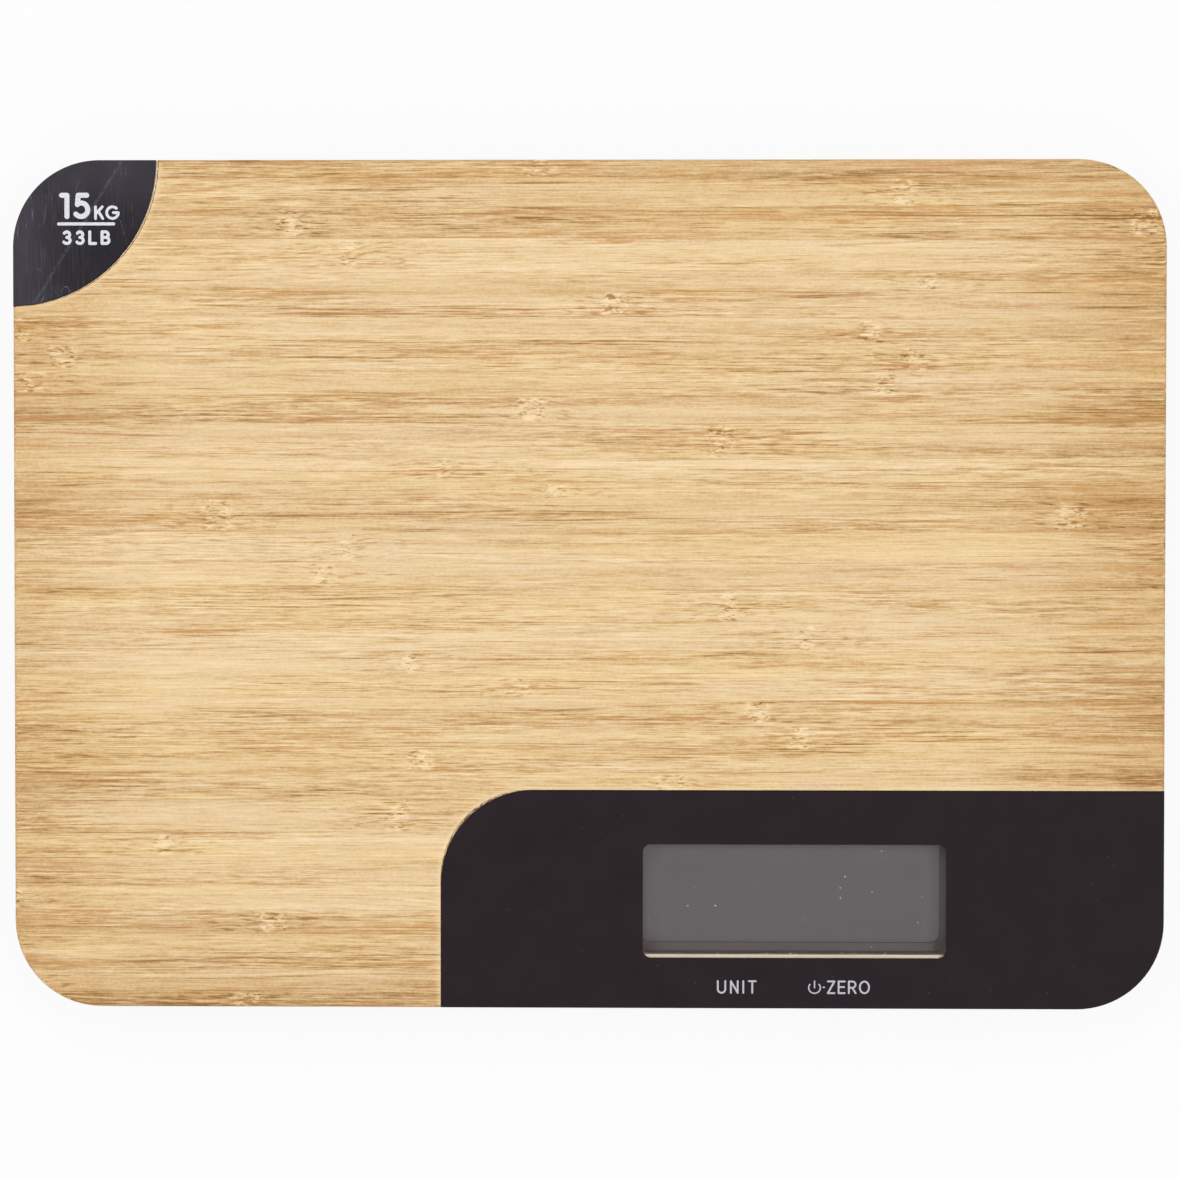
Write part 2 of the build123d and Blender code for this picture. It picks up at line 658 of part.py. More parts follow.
def make_negative_contact():
    """Leaf under the well's roof over the coin cell's face, leaving through the well's wall."""
    half = CONTACT_WIDTH / 2
    low = well_ceiling - CONTACT_THICKNESS
    leaf = block(-CONTACT_REACH, WELL_RADIUS + CONTACT_GAP, -half, half, low, well_ceiling)
    return leaf + contact_tab(low)


def battery_point(angle, distance):
    """Plan point at a distance straight out from a battery contact's tab."""
    reach = WELL_RADIUS + CONTACT_GAP + CONTACT_THICKNESS + distance
    turn = math.radians(angle)
    return (BATTERY_X + reach * math.cos(turn), BATTERY_Y + reach * math.sin(turn))


def make_battery_lead(angle, board_x):
    """Lead from a battery contact to the back edge of the circuit board."""
    route = [
        battery_point(angle, 0),
        battery_point(angle, BATTERY_LEAD_FIRST_RUN),
        (board_x, circuit_back + BATTERY_LEAD_LAST_RUN),
        (board_x, circuit_back - LEAD_ON_BOARD),
    ]
    return lead(route, BATTERY_LEAD_RADIUS)


def make_bezel():
    frame = prism(bezel_plan(0), deck, chassis_top)
    cavity = rect(
        glass_left - GLASS_FIT,
        glass_right + GLASS_FIT,
        glass_front - GLASS_FIT,
        ledge_back + GLASS_FIT,
    )
    frame -= prism(cavity, deck, glass_top)
    view = round_rect(view_left, view_right, view_front, view_back, VIEW_CORNER_RADIUS)
    return frame - prism(view, glass_top, chassis_top)


def make_display():
    upper = block(glass_left, glass_right, glass_front, ledge_back, glass_middle, glass_top)
    return upper + block(glass_left, glass_right, glass_front, glass_back, glass_bottom, glass_middle)


def make_reflector():
    plan = rect(
        glass_left + REFLECTOR_INSET,
        glass_right - REFLECTOR_INSET,
        glass_front + REFLECTOR_INSET,
        glass_back - REFLECTOR_INSET,
    )
    return prism(plan, glass_bottom - REFLECTOR_THICKNESS, glass_bottom)


def make_contact_strip():
    plan = rect(
        glass_left + CONTACT_STRIP_END_INSET,
        glass_right - CONTACT_STRIP_END_INSET,
        glass_back + CONTACT_STRIP_SIDE_GAP,
        ledge_back - CONTACT_STRIP_SIDE_GAP,
    )
    return prism(plan, deck, glass_middle)


def make_circuit_board():
    plan = rect(circuit_left, circuit_right, circuit_front, circuit_back)
    for x, y in BOARD_SCREWS:
        plan -= Pos(x, y) * Circle(BOARD_SCREW_RADIUS + SCREW_CLEARANCE)
    return prism(plan, circuit_board_bottom, deck)


def make_chip():
    blob = rod(chip_x, chip_y, CHIP_RADIUS, deck, deck + CHIP_HEIGHT)
    return fillet(top_edges(blob), CHIP_ROUND)


def make_components():
    """Three chip capacitors in front of the controller and a crystal can behind it."""
    group = []
    for place in range(3):
        y = chip_y - CHIP_RADIUS - (place + 1) * COMPONENT_PITCH
        x_low = chip_x - COMPONENT_LENGTH / 2
        y_low = y - COMPONENT_WIDTH / 2
        x_high = x_low + COMPONENT_LENGTH
        y_high = y_low + COMPONENT_WIDTH
        group.append(block(x_low, x_high, y_low, y_high, deck, deck + COMPONENT_HEIGHT))
    axis = Plane(origin=(chip_x - CRYSTAL_LENGTH / 2, chip_y + CRYSTAL_FROM_CHIP, deck + CRYSTAL_RADIUS),
                 z_dir=(1, 0, 0))
    group.append(extrude(axis * Circle(CRYSTAL_RADIUS), amount=CRYSTAL_LENGTH))
    return Compound(children=group)


def make_switch(x):
    base = block(
        x - SWITCH_LENGTH / 2,
        x + SWITCH_LENGTH / 2,
        key_y - SWITCH_WIDTH / 2,
        key_y + SWITCH_WIDTH / 2,
        deck,
        switch_top,
    )
    depth = SWITCH_STEM_SUNK + KEY_TRAVEL + SWITCH_STEM_GAP
    return base - rod(x, key_y, SWITCH_STEM_RADIUS + SWITCH_STEM_GAP, switch_top - depth, switch_top)


def make_switch_stem(x):
    return rod(x, key_y, SWITCH_STEM_RADIUS, switch_top - SWITCH_STEM_SUNK, stem_top)


def make_plunger(x):
    post = rod(x, key_y, PLUNGER_RADIUS, stem_top, film_bottom - PLUNGER_FILM_GAP)
    bar_top = plate_bottom - PLUNGER_BAR_GAP
    return post + block(
        x - PLUNGER_BAR_LENGTH / 2,
        x + PLUNGER_BAR_LENGTH / 2,
        key_y - PLUNGER_BAR_WIDTH / 2,
        key_y + PLUNGER_BAR_WIDTH / 2,
        bar_top - PLUNGER_BAR_THICKNESS,
        bar_top,
    )


def make_cell_leads():
    """Routes of the four load cell leads from their gauges to the circuit board."""
    start = foot_x - gauge_end
    out = foot_x - CELL_SIZE / 2 - CELL_LEAD_FIRST_RUN
    board_left = circuit_left + LEAD_ON_BOARD
    board_right = circuit_right - LEAD_ON_BOARD
    board_back = circuit_back - LEAD_ON_BOARD
    well_left = BATTERY_X - WELL_RADIUS - CELL_LEAD_WELL_GAP
    well_right = BATTERY_X + WELL_RADIUS + CELL_LEAD_WELL_GAP
    board_inner = bezel_left + BATTERY_LEAD_SPACING + CELL_LEAD_FROM_BATTERY_LEAD
    well_back = BATTERY_Y + CELL_LEAD_PAST_WELL
    far_y = chip_y + CELL_LEAD_FAR_FROM_CHIP
    near_y = chip_y - CELL_LEAD_NEAR_FROM_CHIP
    return {
        "front_left": [
            (-start, -foot_y),
            (-out, -foot_y),
            (well_left - CELL_LEAD_SWAY, near_y),
            (board_left, near_y),
        ],
        "front_right": [(start, -foot_y), (board_right, -foot_y)],
        "back_left": [
            (-start, foot_y),
            (-out, foot_y),
            (well_left - CELL_LEAD_SWAY, well_back),
            (well_left, circuit_back + CELL_LEAD_LAST_RUN),
            (circuit_left - CELL_LEAD_LAST_RUN, far_y),
            (board_left, far_y),
        ],
        "back_right": [
            (start, foot_y),
            (out, foot_y),
            (well_right + CELL_LEAD_SWAY, well_back),
            (board_inner, circuit_back + CELL_LEAD_LAST_RUN),
            (board_inner, board_back),
        ],
    }


def make_parts():
    cover_seat = cover_bottom + SCREW_HEAD_HEIGHT + COVER_SCREW_SUNK
    parts = {
        "bamboo_platform": make_platform(),
        "control_panel": make_panel(),
        "display_window": make_window(),
        "corner_badge": make_badge(),
        "chassis": make_chassis(),
        "adhesive_sheet": prism(adhesive_plan(ADHESIVE_GAP), chassis_top - ADHESIVE_THICKNESS, chassis_top),
        "bottom_cover": make_cover(),
        "cover_screws": Compound(children=[
            screw(x, y, cover_seat, COVER_SCREW_RADIUS, COVER_SCREW_HEAD_RADIUS, COVER_SCREW_REACH)
            for x, y in COVER_SCREWS
        ]),
        "display_bezel": make_bezel(),
        "display_cell": make_display(),
        "display_reflector": make_reflector(),
        "contact_strip": make_contact_strip(),
        "circuit_board": make_circuit_board(),
        "controller_chip": make_chip(),
        "board_components": make_components(),
        "board_screws": Compound(children=[
            screw(x, y, circuit_board_bottom, BOARD_SCREW_RADIUS, BOARD_SCREW_HEAD_RADIUS, BOARD_SCREW_REACH)
            for x, y in BOARD_SCREWS
        ]),
        "key_switches": Compound(children=[make_switch(unit_key_x), make_switch(zero_key_x)]),
        "unit_key_plunger": make_plunger(unit_key_x),
        "unit_switch_stem": make_switch_stem(unit_key_x),
        "zero_key_plunger": make_plunger(zero_key_x),
        "zero_switch_stem": make_switch_stem(zero_key_x),
        "coin_cell": at_battery(make_coin()),
        "battery_contact_positive": at_battery(make_positive_contact(), POSITIVE_CONTACT_ANGLE),
        "battery_contact_negative": at_battery(make_negative_contact(), NEGATIVE_CONTACT_ANGLE),
        "battery_lead_positive": make_battery_lead(POSITIVE_CONTACT_ANGLE, bezel_left),
        "battery_lead_negative": make_battery_lead(NEGATIVE_CONTACT_ANGLE, bezel_left + BATTERY_LEAD_SPACING),
        "battery_cap": at_battery(make_cap()),
    }
    cell_screws = []
    gauge_covers = []
    routes = make_cell_leads()
    for corner, (x, y) in FEET.items():
        parts["load_cell_" + corner] = at_foot(make_load_cell(), x, y)
        parts["load_cell_lead_" + corner] = lead(routes[corner], CELL_LEAD_RADIUS)
        parts["foot_cup_" + corner] = at_foot(make_foot_cup(), x, y)
        parts["foot_pad_" + corner] = at_foot(make_foot_pad(), x, y)
        gauge_covers.append(at_foot(make_gauge_cover(), x, y))
        for u, v in cell_screw_places():
            fixing = screw(u, v, cell_bottom, CELL_SCREW_RADIUS, CELL_SCREW_HEAD_RADIUS, CELL_SCREW_REACH)
            cell_screws.append(at_foot(fixing, x, y))
    parts["load_cell_screws"] = Compound(children=cell_screws)
    parts["strain_gauge_covers"] = Compound(children=gauge_covers)
    return parts


os.makedirs("parts", exist_ok=True)
for node, shape in make_parts().items():
    export_step(shape, "parts/" + node + ".step")
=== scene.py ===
"""Looks of a flat kitchen scale: bamboo platform, black films with printed marks, display, case and feet."""

import math

import bpy
import numpy as np
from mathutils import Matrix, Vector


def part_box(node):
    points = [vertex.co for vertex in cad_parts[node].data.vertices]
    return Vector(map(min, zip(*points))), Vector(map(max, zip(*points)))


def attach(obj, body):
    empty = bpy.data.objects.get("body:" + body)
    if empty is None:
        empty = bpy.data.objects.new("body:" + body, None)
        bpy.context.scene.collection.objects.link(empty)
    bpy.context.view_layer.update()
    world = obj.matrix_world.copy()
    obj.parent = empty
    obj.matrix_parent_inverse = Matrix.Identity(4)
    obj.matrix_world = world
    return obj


bl_info = {
    "name": "Bamboo kitchen scale looks",
    "version": (1, 0, 0),
    "blender": (4, 5, 0),
    "location": "View3D > Sidebar > Scale",
    "description": "Finishes, printed marks, loose fibres and studio for a bamboo kitchen scale",
    "category": "Object",
}

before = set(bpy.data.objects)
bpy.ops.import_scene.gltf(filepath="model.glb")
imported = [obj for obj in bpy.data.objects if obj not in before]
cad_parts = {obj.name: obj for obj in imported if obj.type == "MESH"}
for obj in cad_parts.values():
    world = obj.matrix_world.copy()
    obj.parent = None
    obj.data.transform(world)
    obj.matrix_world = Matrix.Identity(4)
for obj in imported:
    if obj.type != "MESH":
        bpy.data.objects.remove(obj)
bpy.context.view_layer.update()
BODY = "scale_body"
MM = 0.001
CORNERS = ("front_left", "front_right", "back_left", "back_right")

# Pockets of the films, in millimetres: radius of the badge's pocket about the platform's square corner, its
# film's shift towards that corner, radius of the panel pocket's corner, the film's spare there, and the gap.
BADGE_RADIUS = 29.3
BADGE_SHIFT = 0.45
PANEL_CORNER = 17.9
PANEL_SPARE = 0.33
FILM_GAP = 0.15

# Cut faces of the platform, in millimetres: depths between which the lacquer ends, the painted highlight
# round a pocket, the scorched strip inside each pocket's wall, which is also painted shade of the gap, how
# far the window's cut stands outside its pane, and the inner edge of the ledge at the window's front.
LACQUER_END = (0.03, 0.12)
PAINTED_RIM_HIGHLIGHT = (1.3, 0.1)
PANEL_SCORCH_AND_SHADE = (-1.0, -0.7)
BADGE_SCORCH_AND_SHADE = (-0.32, -0.16)
WINDOW_REVEAL = (0.9, 0.8)
LEDGE_EDGE = (0.55, 0.68)

# How far the painted shade at the platform's edges reaches in, in millimetres.
END_SHADE = 32.0
LEFT_SHADE = 50.0
RIGHT_SHADE = 60.0

# Bamboo: offset of the grain from strip to strip and, from a knuckle's middle, where its core and its wings
# end and where they are full, all in millimetres. Then the darkness of an even spot, the weight that raises
# it by one, and the tints of the colour.
STRIP_OFFSET = 300.0
KNUCKLE_CORE = (3.6, 1.4)
KNUCKLE_WING = (22.0, 3.0)
EVEN_DARKNESS = 0.492
DARKNESS_WEIGHT = 8.7
COOL_TINT = (0.975, 0.995, 1.13)
GOLDEN_TINT = (0.99, 0.981, 0.918)

# Loose fibres: how many lie in each pocket and singly on the window's ledge, how many tufts stand there, the
# fibres of a tuft, and the stations along a fibre.
BADGE_FIBRES = 190
PANEL_FIBRES = 90
LEDGE_FIBRES = 35
TUFTS = 5
TUFT_FIBRES = 7
FIBRE_STATIONS = 6

# Printed strokes: stations of a round end, step along a stroke and reach for its heading as shares of the
# stroke's width, points of an arc, sink into the film as a share of the ink's height, and how many heights
# the strokes take in turn, so that strokes that cross don't share a face.
ROUND_STATIONS = 6
STROKE_STEP = 0.35
HEADING_REACH = 0.02
ARC_POINTS = 33
INK_SINK = 0.25
INK_LAYERS = 5

# Key marks, in millimetres: left and right edges from the middle of the key, drop below it, and the share of
# the stroke's width that the power sign and the dash have.
UNIT_EDGES = (-3.86, 4.07)
ZERO_EDGES = (-2.36, 6.21)
POWER_EDGES = (-6.2, -3.64)
DASH_EDGES = (-3.24, -2.8)
KEY_MARK_DROP = 0.6
THIN_SHARE = 0.75

# Capacity mark, in millimetres: its corner from the badge's left and back edges, then each row's edges from
# that corner, drop of its base line, capital height and stroke, and the line between the rows.
CAPACITY_LEFT = 9.3
CAPACITY_TOP = 6.5
CAPACITY_ROWS = {
    "15": {"edges": (0.0, 6.23), "drop": 5.23, "capital": 5.23, "stroke": 1.0},
    "KG": {"edges": (7.0, 12.1), "drop": 5.4, "capital": 2.87, "stroke": 0.55},
    "33LB": {"edges": (0.56, 10.26), "drop": 10.4, "capital": 2.92, "stroke": 0.6},
}
CAPACITY_LINE = {"edges": (-0.1, 10.9), "drop": 6.2, "stroke": 0.62}

# Display, in millimetres: width of the glass's rim of painted light, and how far inside the pane's right
# edge the bezel's painted shade begins.
GLASS_LIGHT_RIM = 6.0
BEZEL_SHADE_INSET = 2.0

# Stage, in metres and radians: half the floor, its glow to the eye, lamps with their place and share of the
# power, and the camera's place and tilt, which lay the outline over the photograph's.
FLOOR_REACH = 3.0
FLOOR_GLOW = 0.89
LAMP_SIZE = 0.4
LAMPS = {
    "left_lamp": ((-0.46, 0.10, 0.85), 1.1),
    "right_lamp": ((0.46, 0.05, 0.85), 1.0),
    "back_lamp": ((-0.06, 0.48, 0.85), 0.9),
    "front_lamp": ((0.06, -0.5, 0.85), 0.7),
}
CAMERA_PLACE = (0.01268, 0.01604, 0.7)
CAMERA_TILT = (-0.02495, 0.01803, 0.0007)
WHITE = (1.0, 1.0, 1.0)


def tone(red, green, blue):
    """Linear colour from eight-bit screen values: ((c + 0.055) / 1.055) ** 2.4 with c from 0 to 1."""
    return tuple(((value / 255 + 0.055) / 1.055) ** 2.4 for value in (red, green, blue))


def scaled(colour, gain, lift=0.0):
    """Colour times a gain plus a lift."""
    return tuple(value * gain + lift for value in colour)


def span(node):
    """Lowest and highest corner of a CAD node in millimetres, as two arrays."""
    low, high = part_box(node)
    return np.array(low) / MM, np.array(high) / MM


def length_value(name, description, millimetres):
    """A length property with its default given in millimetres."""
    return bpy.props.FloatProperty(
        name=name, description=description, default=millimetres * MM, min=0.0, precision=5,
        unit="LENGTH", subtype="DISTANCE",
    )


def colour_value(name, description, default):
    """A colour property with a linear default."""
    return bpy.props.FloatVectorProperty(
        name=name, description=description, default=default, min=0.0, max=1.0, size=3, subtype="COLOR",
    )


def share_value(name, description, default):
    """A property from 0 to 1."""
    return bpy.props.FloatProperty(
        name=name, description=description, default=default, min=0.0, max=1.0, subtype="FACTOR",
    )


class BambooLook(bpy.types.PropertyGroup):
    """Grain and colours of the bamboo board."""

    strip: length_value("Strip width", "Mean width of one laminated strip", 5.4)
    knuckle_spacing: length_value("Knuckle spacing", "Distance between the knuckles of one strip", 170)
    pale: colour_value("Pale", "Palest fibres", tone(250, 222, 177))
    light: colour_value("Light", "Light fibres", tone(237, 207, 156))
    fibre: colour_value("Fibre", "Usual fibres", tone(230, 198, 147))
    shade: colour_value("Shade", "Darker fibres", tone(221, 185, 131))
    streak: colour_value("Streak", "Dark streaks", tone(205, 165, 109))
    mark: colour_value("Mark", "Darkest marks", tone(153, 107, 54))
    amber: colour_value("Amber", "Reddish streaks", tone(206, 152, 94))
    raw: colour_value("Raw cut", "Bare bamboo in the pockets and the window", tone(255, 240, 214))
    # The stain colour is painted shade on the window's front and right walls.
    painted_wall_shade: colour_value("Stain", "Stained walls of the window", tone(108, 98, 94))
    # The scorch colour stands for burnt pocket walls and also for painted shade in the gap round the films.
    scorch_and_shade: colour_value("Scorch", "Burnt walls of the pockets", tone(104, 60, 40))
    roughness: share_value("Roughness", "Roughness of the lacquer", 0.52)


class FilmLook(bpy.types.PropertyGroup):
    """Black films and the marks printed on them."""

    film: colour_value("Panel film", "Black of the control panel", tone(35, 28, 32))
    badge_film: colour_value("Badge film", "Black of the corner badge", tone(37, 33, 40))
    key_ink: colour_value("Key ink", "Ink of the key marks", tone(196, 195, 203))
    badge_ink: colour_value("Badge ink", "Ink of the capacity mark", tone(228, 228, 238))
    ink_height: length_value("Ink height", "Thickness of the printed ink", 0.02)
    key_capital: length_value("Key capitals", "Height of the key marks", 2.7)
    key_stroke: length_value("Key stroke", "Stroke width of the key marks", 0.36)
    roughness: share_value("Roughness", "Roughness of the films", 0.5)


class DisplayLook(bpy.types.PropertyGroup):
    """Display glass, its bezel and the pane over it."""

    glass: colour_value("Glass", "Grey of the switched-off display", tone(109, 105, 107))
    bezel: colour_value("Bezel", "Frame round the display", tone(121, 112, 111))
    haze: share_value("Pane haze", "Share of the pane that reflects straight down", 0.015)


class CaseLook(bpy.types.PropertyGroup):
    """Case mouldings, feet and fasteners."""

    case: colour_value("Case", "Black case mouldings", tone(38, 38, 40))
    rubber: colour_value("Rubber", "Foot pads", tone(52, 52, 54))
    steel: colour_value("Steel", "Screws and plates", tone(190, 190, 192))


class StageLook(bpy.types.PropertyGroup):
    """Floor, lamps and camera."""

    floor: colour_value("Floor", "Colour of the floor", tone(246, 246, 246))
    lamp: bpy.props.FloatProperty(
        name="Lamp power", description="Power of each side lamp", default=1.75, min=0.0, unit="POWER",
    )
    sky: share_value("Sky", "Strength of the light from all round", 0.5)
    lens: bpy.props.FloatProperty(
        name="Lens", description="Focal length of the camera", default=104.29, min=1.0,
        subtype="DISTANCE_CAMERA",
    )


class Term:
    """One socket of a node tree. Arithmetic with terms and numbers adds Math nodes."""

    # Leaves arithmetic between a numpy number and a term to the term.
    __array_ufunc__ = None

    def __init__(self, nodes, socket):
        self.nodes = nodes
        self.socket = socket

    def math(self, operation, *values):
        return self.nodes.node("ShaderNodeMath", {"operation": operation}, dict(enumerate(values)))

    def __add__(self, other):
        return self.math("ADD", self, other)

    def __radd__(self, other):
        return self.math("ADD", other, self)

    def __sub__(self, other):
        return self.math("SUBTRACT", self, other)

    def __rsub__(self, other):
        return self.math("SUBTRACT", other, self)

    def __mul__(self, other):
        return self.math("MULTIPLY", self, other)

    def __rmul__(self, other):
        return self.math("MULTIPLY", other, self)

    def __truediv__(self, other):
        return self.math("DIVIDE", self, other)

    def __abs__(self):
        return self.math("ABSOLUTE", self)

    def least(self, other):
        return self.math("MINIMUM", self, other)

    def most(self, other):
        return self.math("MAXIMUM", self, other)

    def root(self):
        return self.math("SQRT", self)

    def fraction(self):
        return self.math("FRACT", self)


class Nodes:
    """A node tree in the making, emptied first."""

    def __init__(self, tree):
        self.tree = tree
        self.tree.nodes.clear()

    def node(self, kind, settings=None, sockets=None, output=0):
        """Adds a node: its settings first, then values or links of its sockets. Returns one output."""
        made = self.tree.nodes.new(kind)
        for name, value in (settings or {}).items():
            if name == "stops":
                self.set_stops(made.color_ramp, value)
            else:
                setattr(made, name, value)
        for name, value in (sockets or {}).items():
            self.feed(made.inputs[name], value)
        return Term(self, made.outputs[output])

    def set_stops(self, ramp, stops):
        """Gives a colour ramp its places and colours."""
        while len(ramp.elements) < len(stops):
            ramp.elements.new(1.0)
        for element, (place, colour) in zip(ramp.elements, stops):
            element.position = place
            element.color = (*colour, 1.0)

    def feed(self, socket, value):
        """Links a term to a socket, or sets the socket to a plain value."""
        if isinstance(value, Term):
            self.tree.links.new(value.socket, socket)
        elif socket.type == "RGBA":
            socket.default_value = (*tuple(value)[:3], 1.0)
        else:
            socket.default_value = value

    def places(self):
        """Object coordinates in millimetres, as three terms."""
        point = self.node("ShaderNodeTexCoord", output="Object")
        return [
            self.node("ShaderNodeSeparateXYZ", sockets={0: point}, output=axis) / MM for axis in range(3)
        ]

    def vector(self, x, y, z):
        return self.node("ShaderNodeCombineXYZ", sockets={0: x, 1: y, 2: z})

    def noise(self, place, scale, detail=2.0, roughness=0.5, distortion=0.0, shift=0.0):
        """Noise from 0 to 1 at a place times a scale, moved along the third axis by a shift.

        The scale is in cycles per millimetre: one number, or one for each axis.
        """
        if isinstance(scale, float):
            scale = (scale, scale, scale)
        spot = self.node("ShaderNodeVectorMath", {"operation": "MULTIPLY"}, {0: place, 1: scale})
        spot = self.node("ShaderNodeVectorMath", {"operation": "ADD"}, {0: spot, 1: (0.0, 0.0, shift)})
        sockets = {
            "Vector": spot, "Scale": 1.0, "Detail": detail, "Roughness": roughness, "Distortion": distortion,
        }
        return self.node("ShaderNodeTexNoise", {"noise_dimensions": "3D"}, sockets)

    def step(self, value, start, end):
        """Smooth rise from 0 at start to 1 at end. A start above its end gives a fall."""
        sockets = {"Value": value, "From Min": start, "From Max": end, "To Min": 0.0, "To Max": 1.0}
        if start > end:
            sockets.update({"From Min": end, "From Max": start, "To Min": 1.0, "To Max": 0.0})
        return self.node("ShaderNodeMapRange", {"interpolation_type": "SMOOTHSTEP"}, sockets)

    def mix(self, first, second, share):
        """Colour between two colours."""
        return self.node("ShaderNodeMix", {"data_type": "RGBA"}, {0: share, 6: first, 7: second}, output=2)

    def tint(self, colour, gain):
        """Colour times a gain for each channel."""
        return self.node("ShaderNodeVectorMath", {"operation": "MULTIPLY"}, {0: colour, 1: gain})

    def ramp(self, value, stops):
        return self.node("ShaderNodeValToRGB", {"stops": stops}, {0: value})

    def bump(self, height, strength, distance):
        """Surface normal tilted by a height from 0 to 1 over a distance in metres."""
        sockets = {"Strength": strength, "Distance": distance, "Height": height}
        return self.node("ShaderNodeBump", sockets=sockets)

    def blend(self, share, first, second):
        """Shader between two shaders."""
        return self.node("ShaderNodeMixShader", sockets={0: share, 1: first, 2: second})


class Finish(Nodes):
    """A material in the making: one principled surface and the nodes that feed it."""

    def __init__(self, name):
        self.material = bpy.data.materials.new(name)
        self.material.use_nodes = True
        super().__init__(self.material.node_tree)
        self.output = self.tree.nodes.new("ShaderNodeOutputMaterial")
        self.surface = self.tree.nodes.new("ShaderNodeBsdfPrincipled")
        self.shader = Term(self, self.surface.outputs["BSDF"])
        self.cover(self.shader)

    def cover(self, shader):
        """Puts a shader on the material's surface."""
        self.feed(self.output.inputs["Surface"], shader)
        return self.material

    def set(self, **values):
        """Feeds the principled surface: a name is the socket's, with _ for a space."""
        for name, value in values.items():
            self.feed(self.surface.inputs[name.replace("_", " ")], value)
        return self.material


def dress(material, *nodes):
    """Gives CAD nodes a material."""
    for name in nodes:
        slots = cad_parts[name].data.materials
        slots.clear()
        slots.append(material)


def at_corners(stem):
    """Names of the four CAD nodes that stand at the corners."""
    return [f"{stem}_{corner}" for corner in CORNERS]


def corner_distance(across, along, radius):
    """Distance outside a quarter-round corner.

    Both terms grow outwards from the corner's centre: length of their positive parts, plus the larger
    where both are negative, less the radius.
    """
    wide = across.most(0.0)
    tall = along.most(0.0)
    return (wide * wide + tall * tall).root() + across.most(along).least(0.0) - radius


def grain(along, across):
    """Noise scale of the bamboo, in cycles per millimetre along its fibres and across them."""
    return (along, across, across)


def strip_cells(finish, look, point):
    """Three chances from 0 to 1 of each laminated strip, and the distance to its seam.

    Strips are one-dimensional cells over Y, whose borders drift a little along X.
    """
    drift = finish.noise(finish.vector(*point), grain(0.006, 0.02), detail=1.0)
    lane = point[1] / (look.strip / MM) + (drift - 0.5) * 0.5
    place = {"W": lane, "Scale": 1.0, "Randomness": 0.75}
    chance = finish.node("ShaderNodeTexVoronoi", {"voronoi_dimensions": "1D"}, place, output="Color")
    chances = [finish.node("ShaderNodeSeparateColor", sockets={0: chance}, output=i) for i in range(3)]
    borders = {"voronoi_dimensions": "1D", "feature": "DISTANCE_TO_EDGE"}
    seam = finish.node("ShaderNodeTexVoronoi", borders, place, output="Distance")
    return (*chances, seam)


def knuckle_marks(finish, look, point, spot, strip):
    """Slanting dashes, curled marks, pale flecks and cores of the knuckles, each from 0 to 1.

    A strip has a knuckle at every spacing, from a start of its own. Flecks and curls lie in the core, whose
    length goes with the strip's tone, and dashes run out into the wings at both sides.
    """
    x, y, z = point
    strip_tone, strip_start, seam = strip
    spacing = look.knuckle_spacing / MM
    away = ((x / spacing + strip_start * 7.0).fraction() - 0.5) * spacing
    inside = finish.step(seam, 0.02, 0.12)
    core = finish.step(abs(away) / (0.5 + strip_tone * 0.8), *KNUCKLE_CORE) * inside
    wing = finish.step(abs(away), *KNUCKLE_WING) * inside
    slant = finish.vector(x, y + away * (strip_tone - 0.5) * 0.2, z)
    dash = finish.noise(slant, grain(0.34, 2.3), detail=0.0, shift=61.0)
    fleck = finish.noise(spot, grain(0.4, 1.2), detail=1.0, distortion=0.8, shift=97.0)
    curl = finish.noise(spot, grain(0.6, 1.8), detail=1.0, distortion=1.0, shift=109.0)
    dashes = finish.step(dash, 0.56, 0.72) * wing
    flecks = finish.step(fleck, 0.5, 0.62) * core
    curls = finish.step(curl, 0.55, 0.68) * core
    return dashes, curls, flecks, core


def contour_lines(finish, spot, width, fade, shift):
    """Long thin lines where a slow noise passes a half: 1 within the fade of it, 0 beyond the width."""
    slow = finish.noise(spot, grain(0.005, 0.3), detail=1.0, shift=shift)
    return finish.step(abs(slow - 0.5), width, fade)


def painted_edge_shade(finish, x, y):
    """Painted shade towards the platform's edges: the largest of the weighted powers of a rise to each edge.
    """
    low, high = span("bamboo_platform")
    back = finish.step(y, high[1] - END_SHADE, high[1])
    front = finish.step(y, low[1] + END_SHADE, low[1])
    left = finish.step(x, low[0] + LEFT_SHADE, low[0])
    right = finish.step(x, high[0] - RIGHT_SHADE, high[0])
    ends = (back * back * 0.8).most(front * front * 1.7)
    return ends.most(left * left * left * 1.25).most(right * right * 1.75)


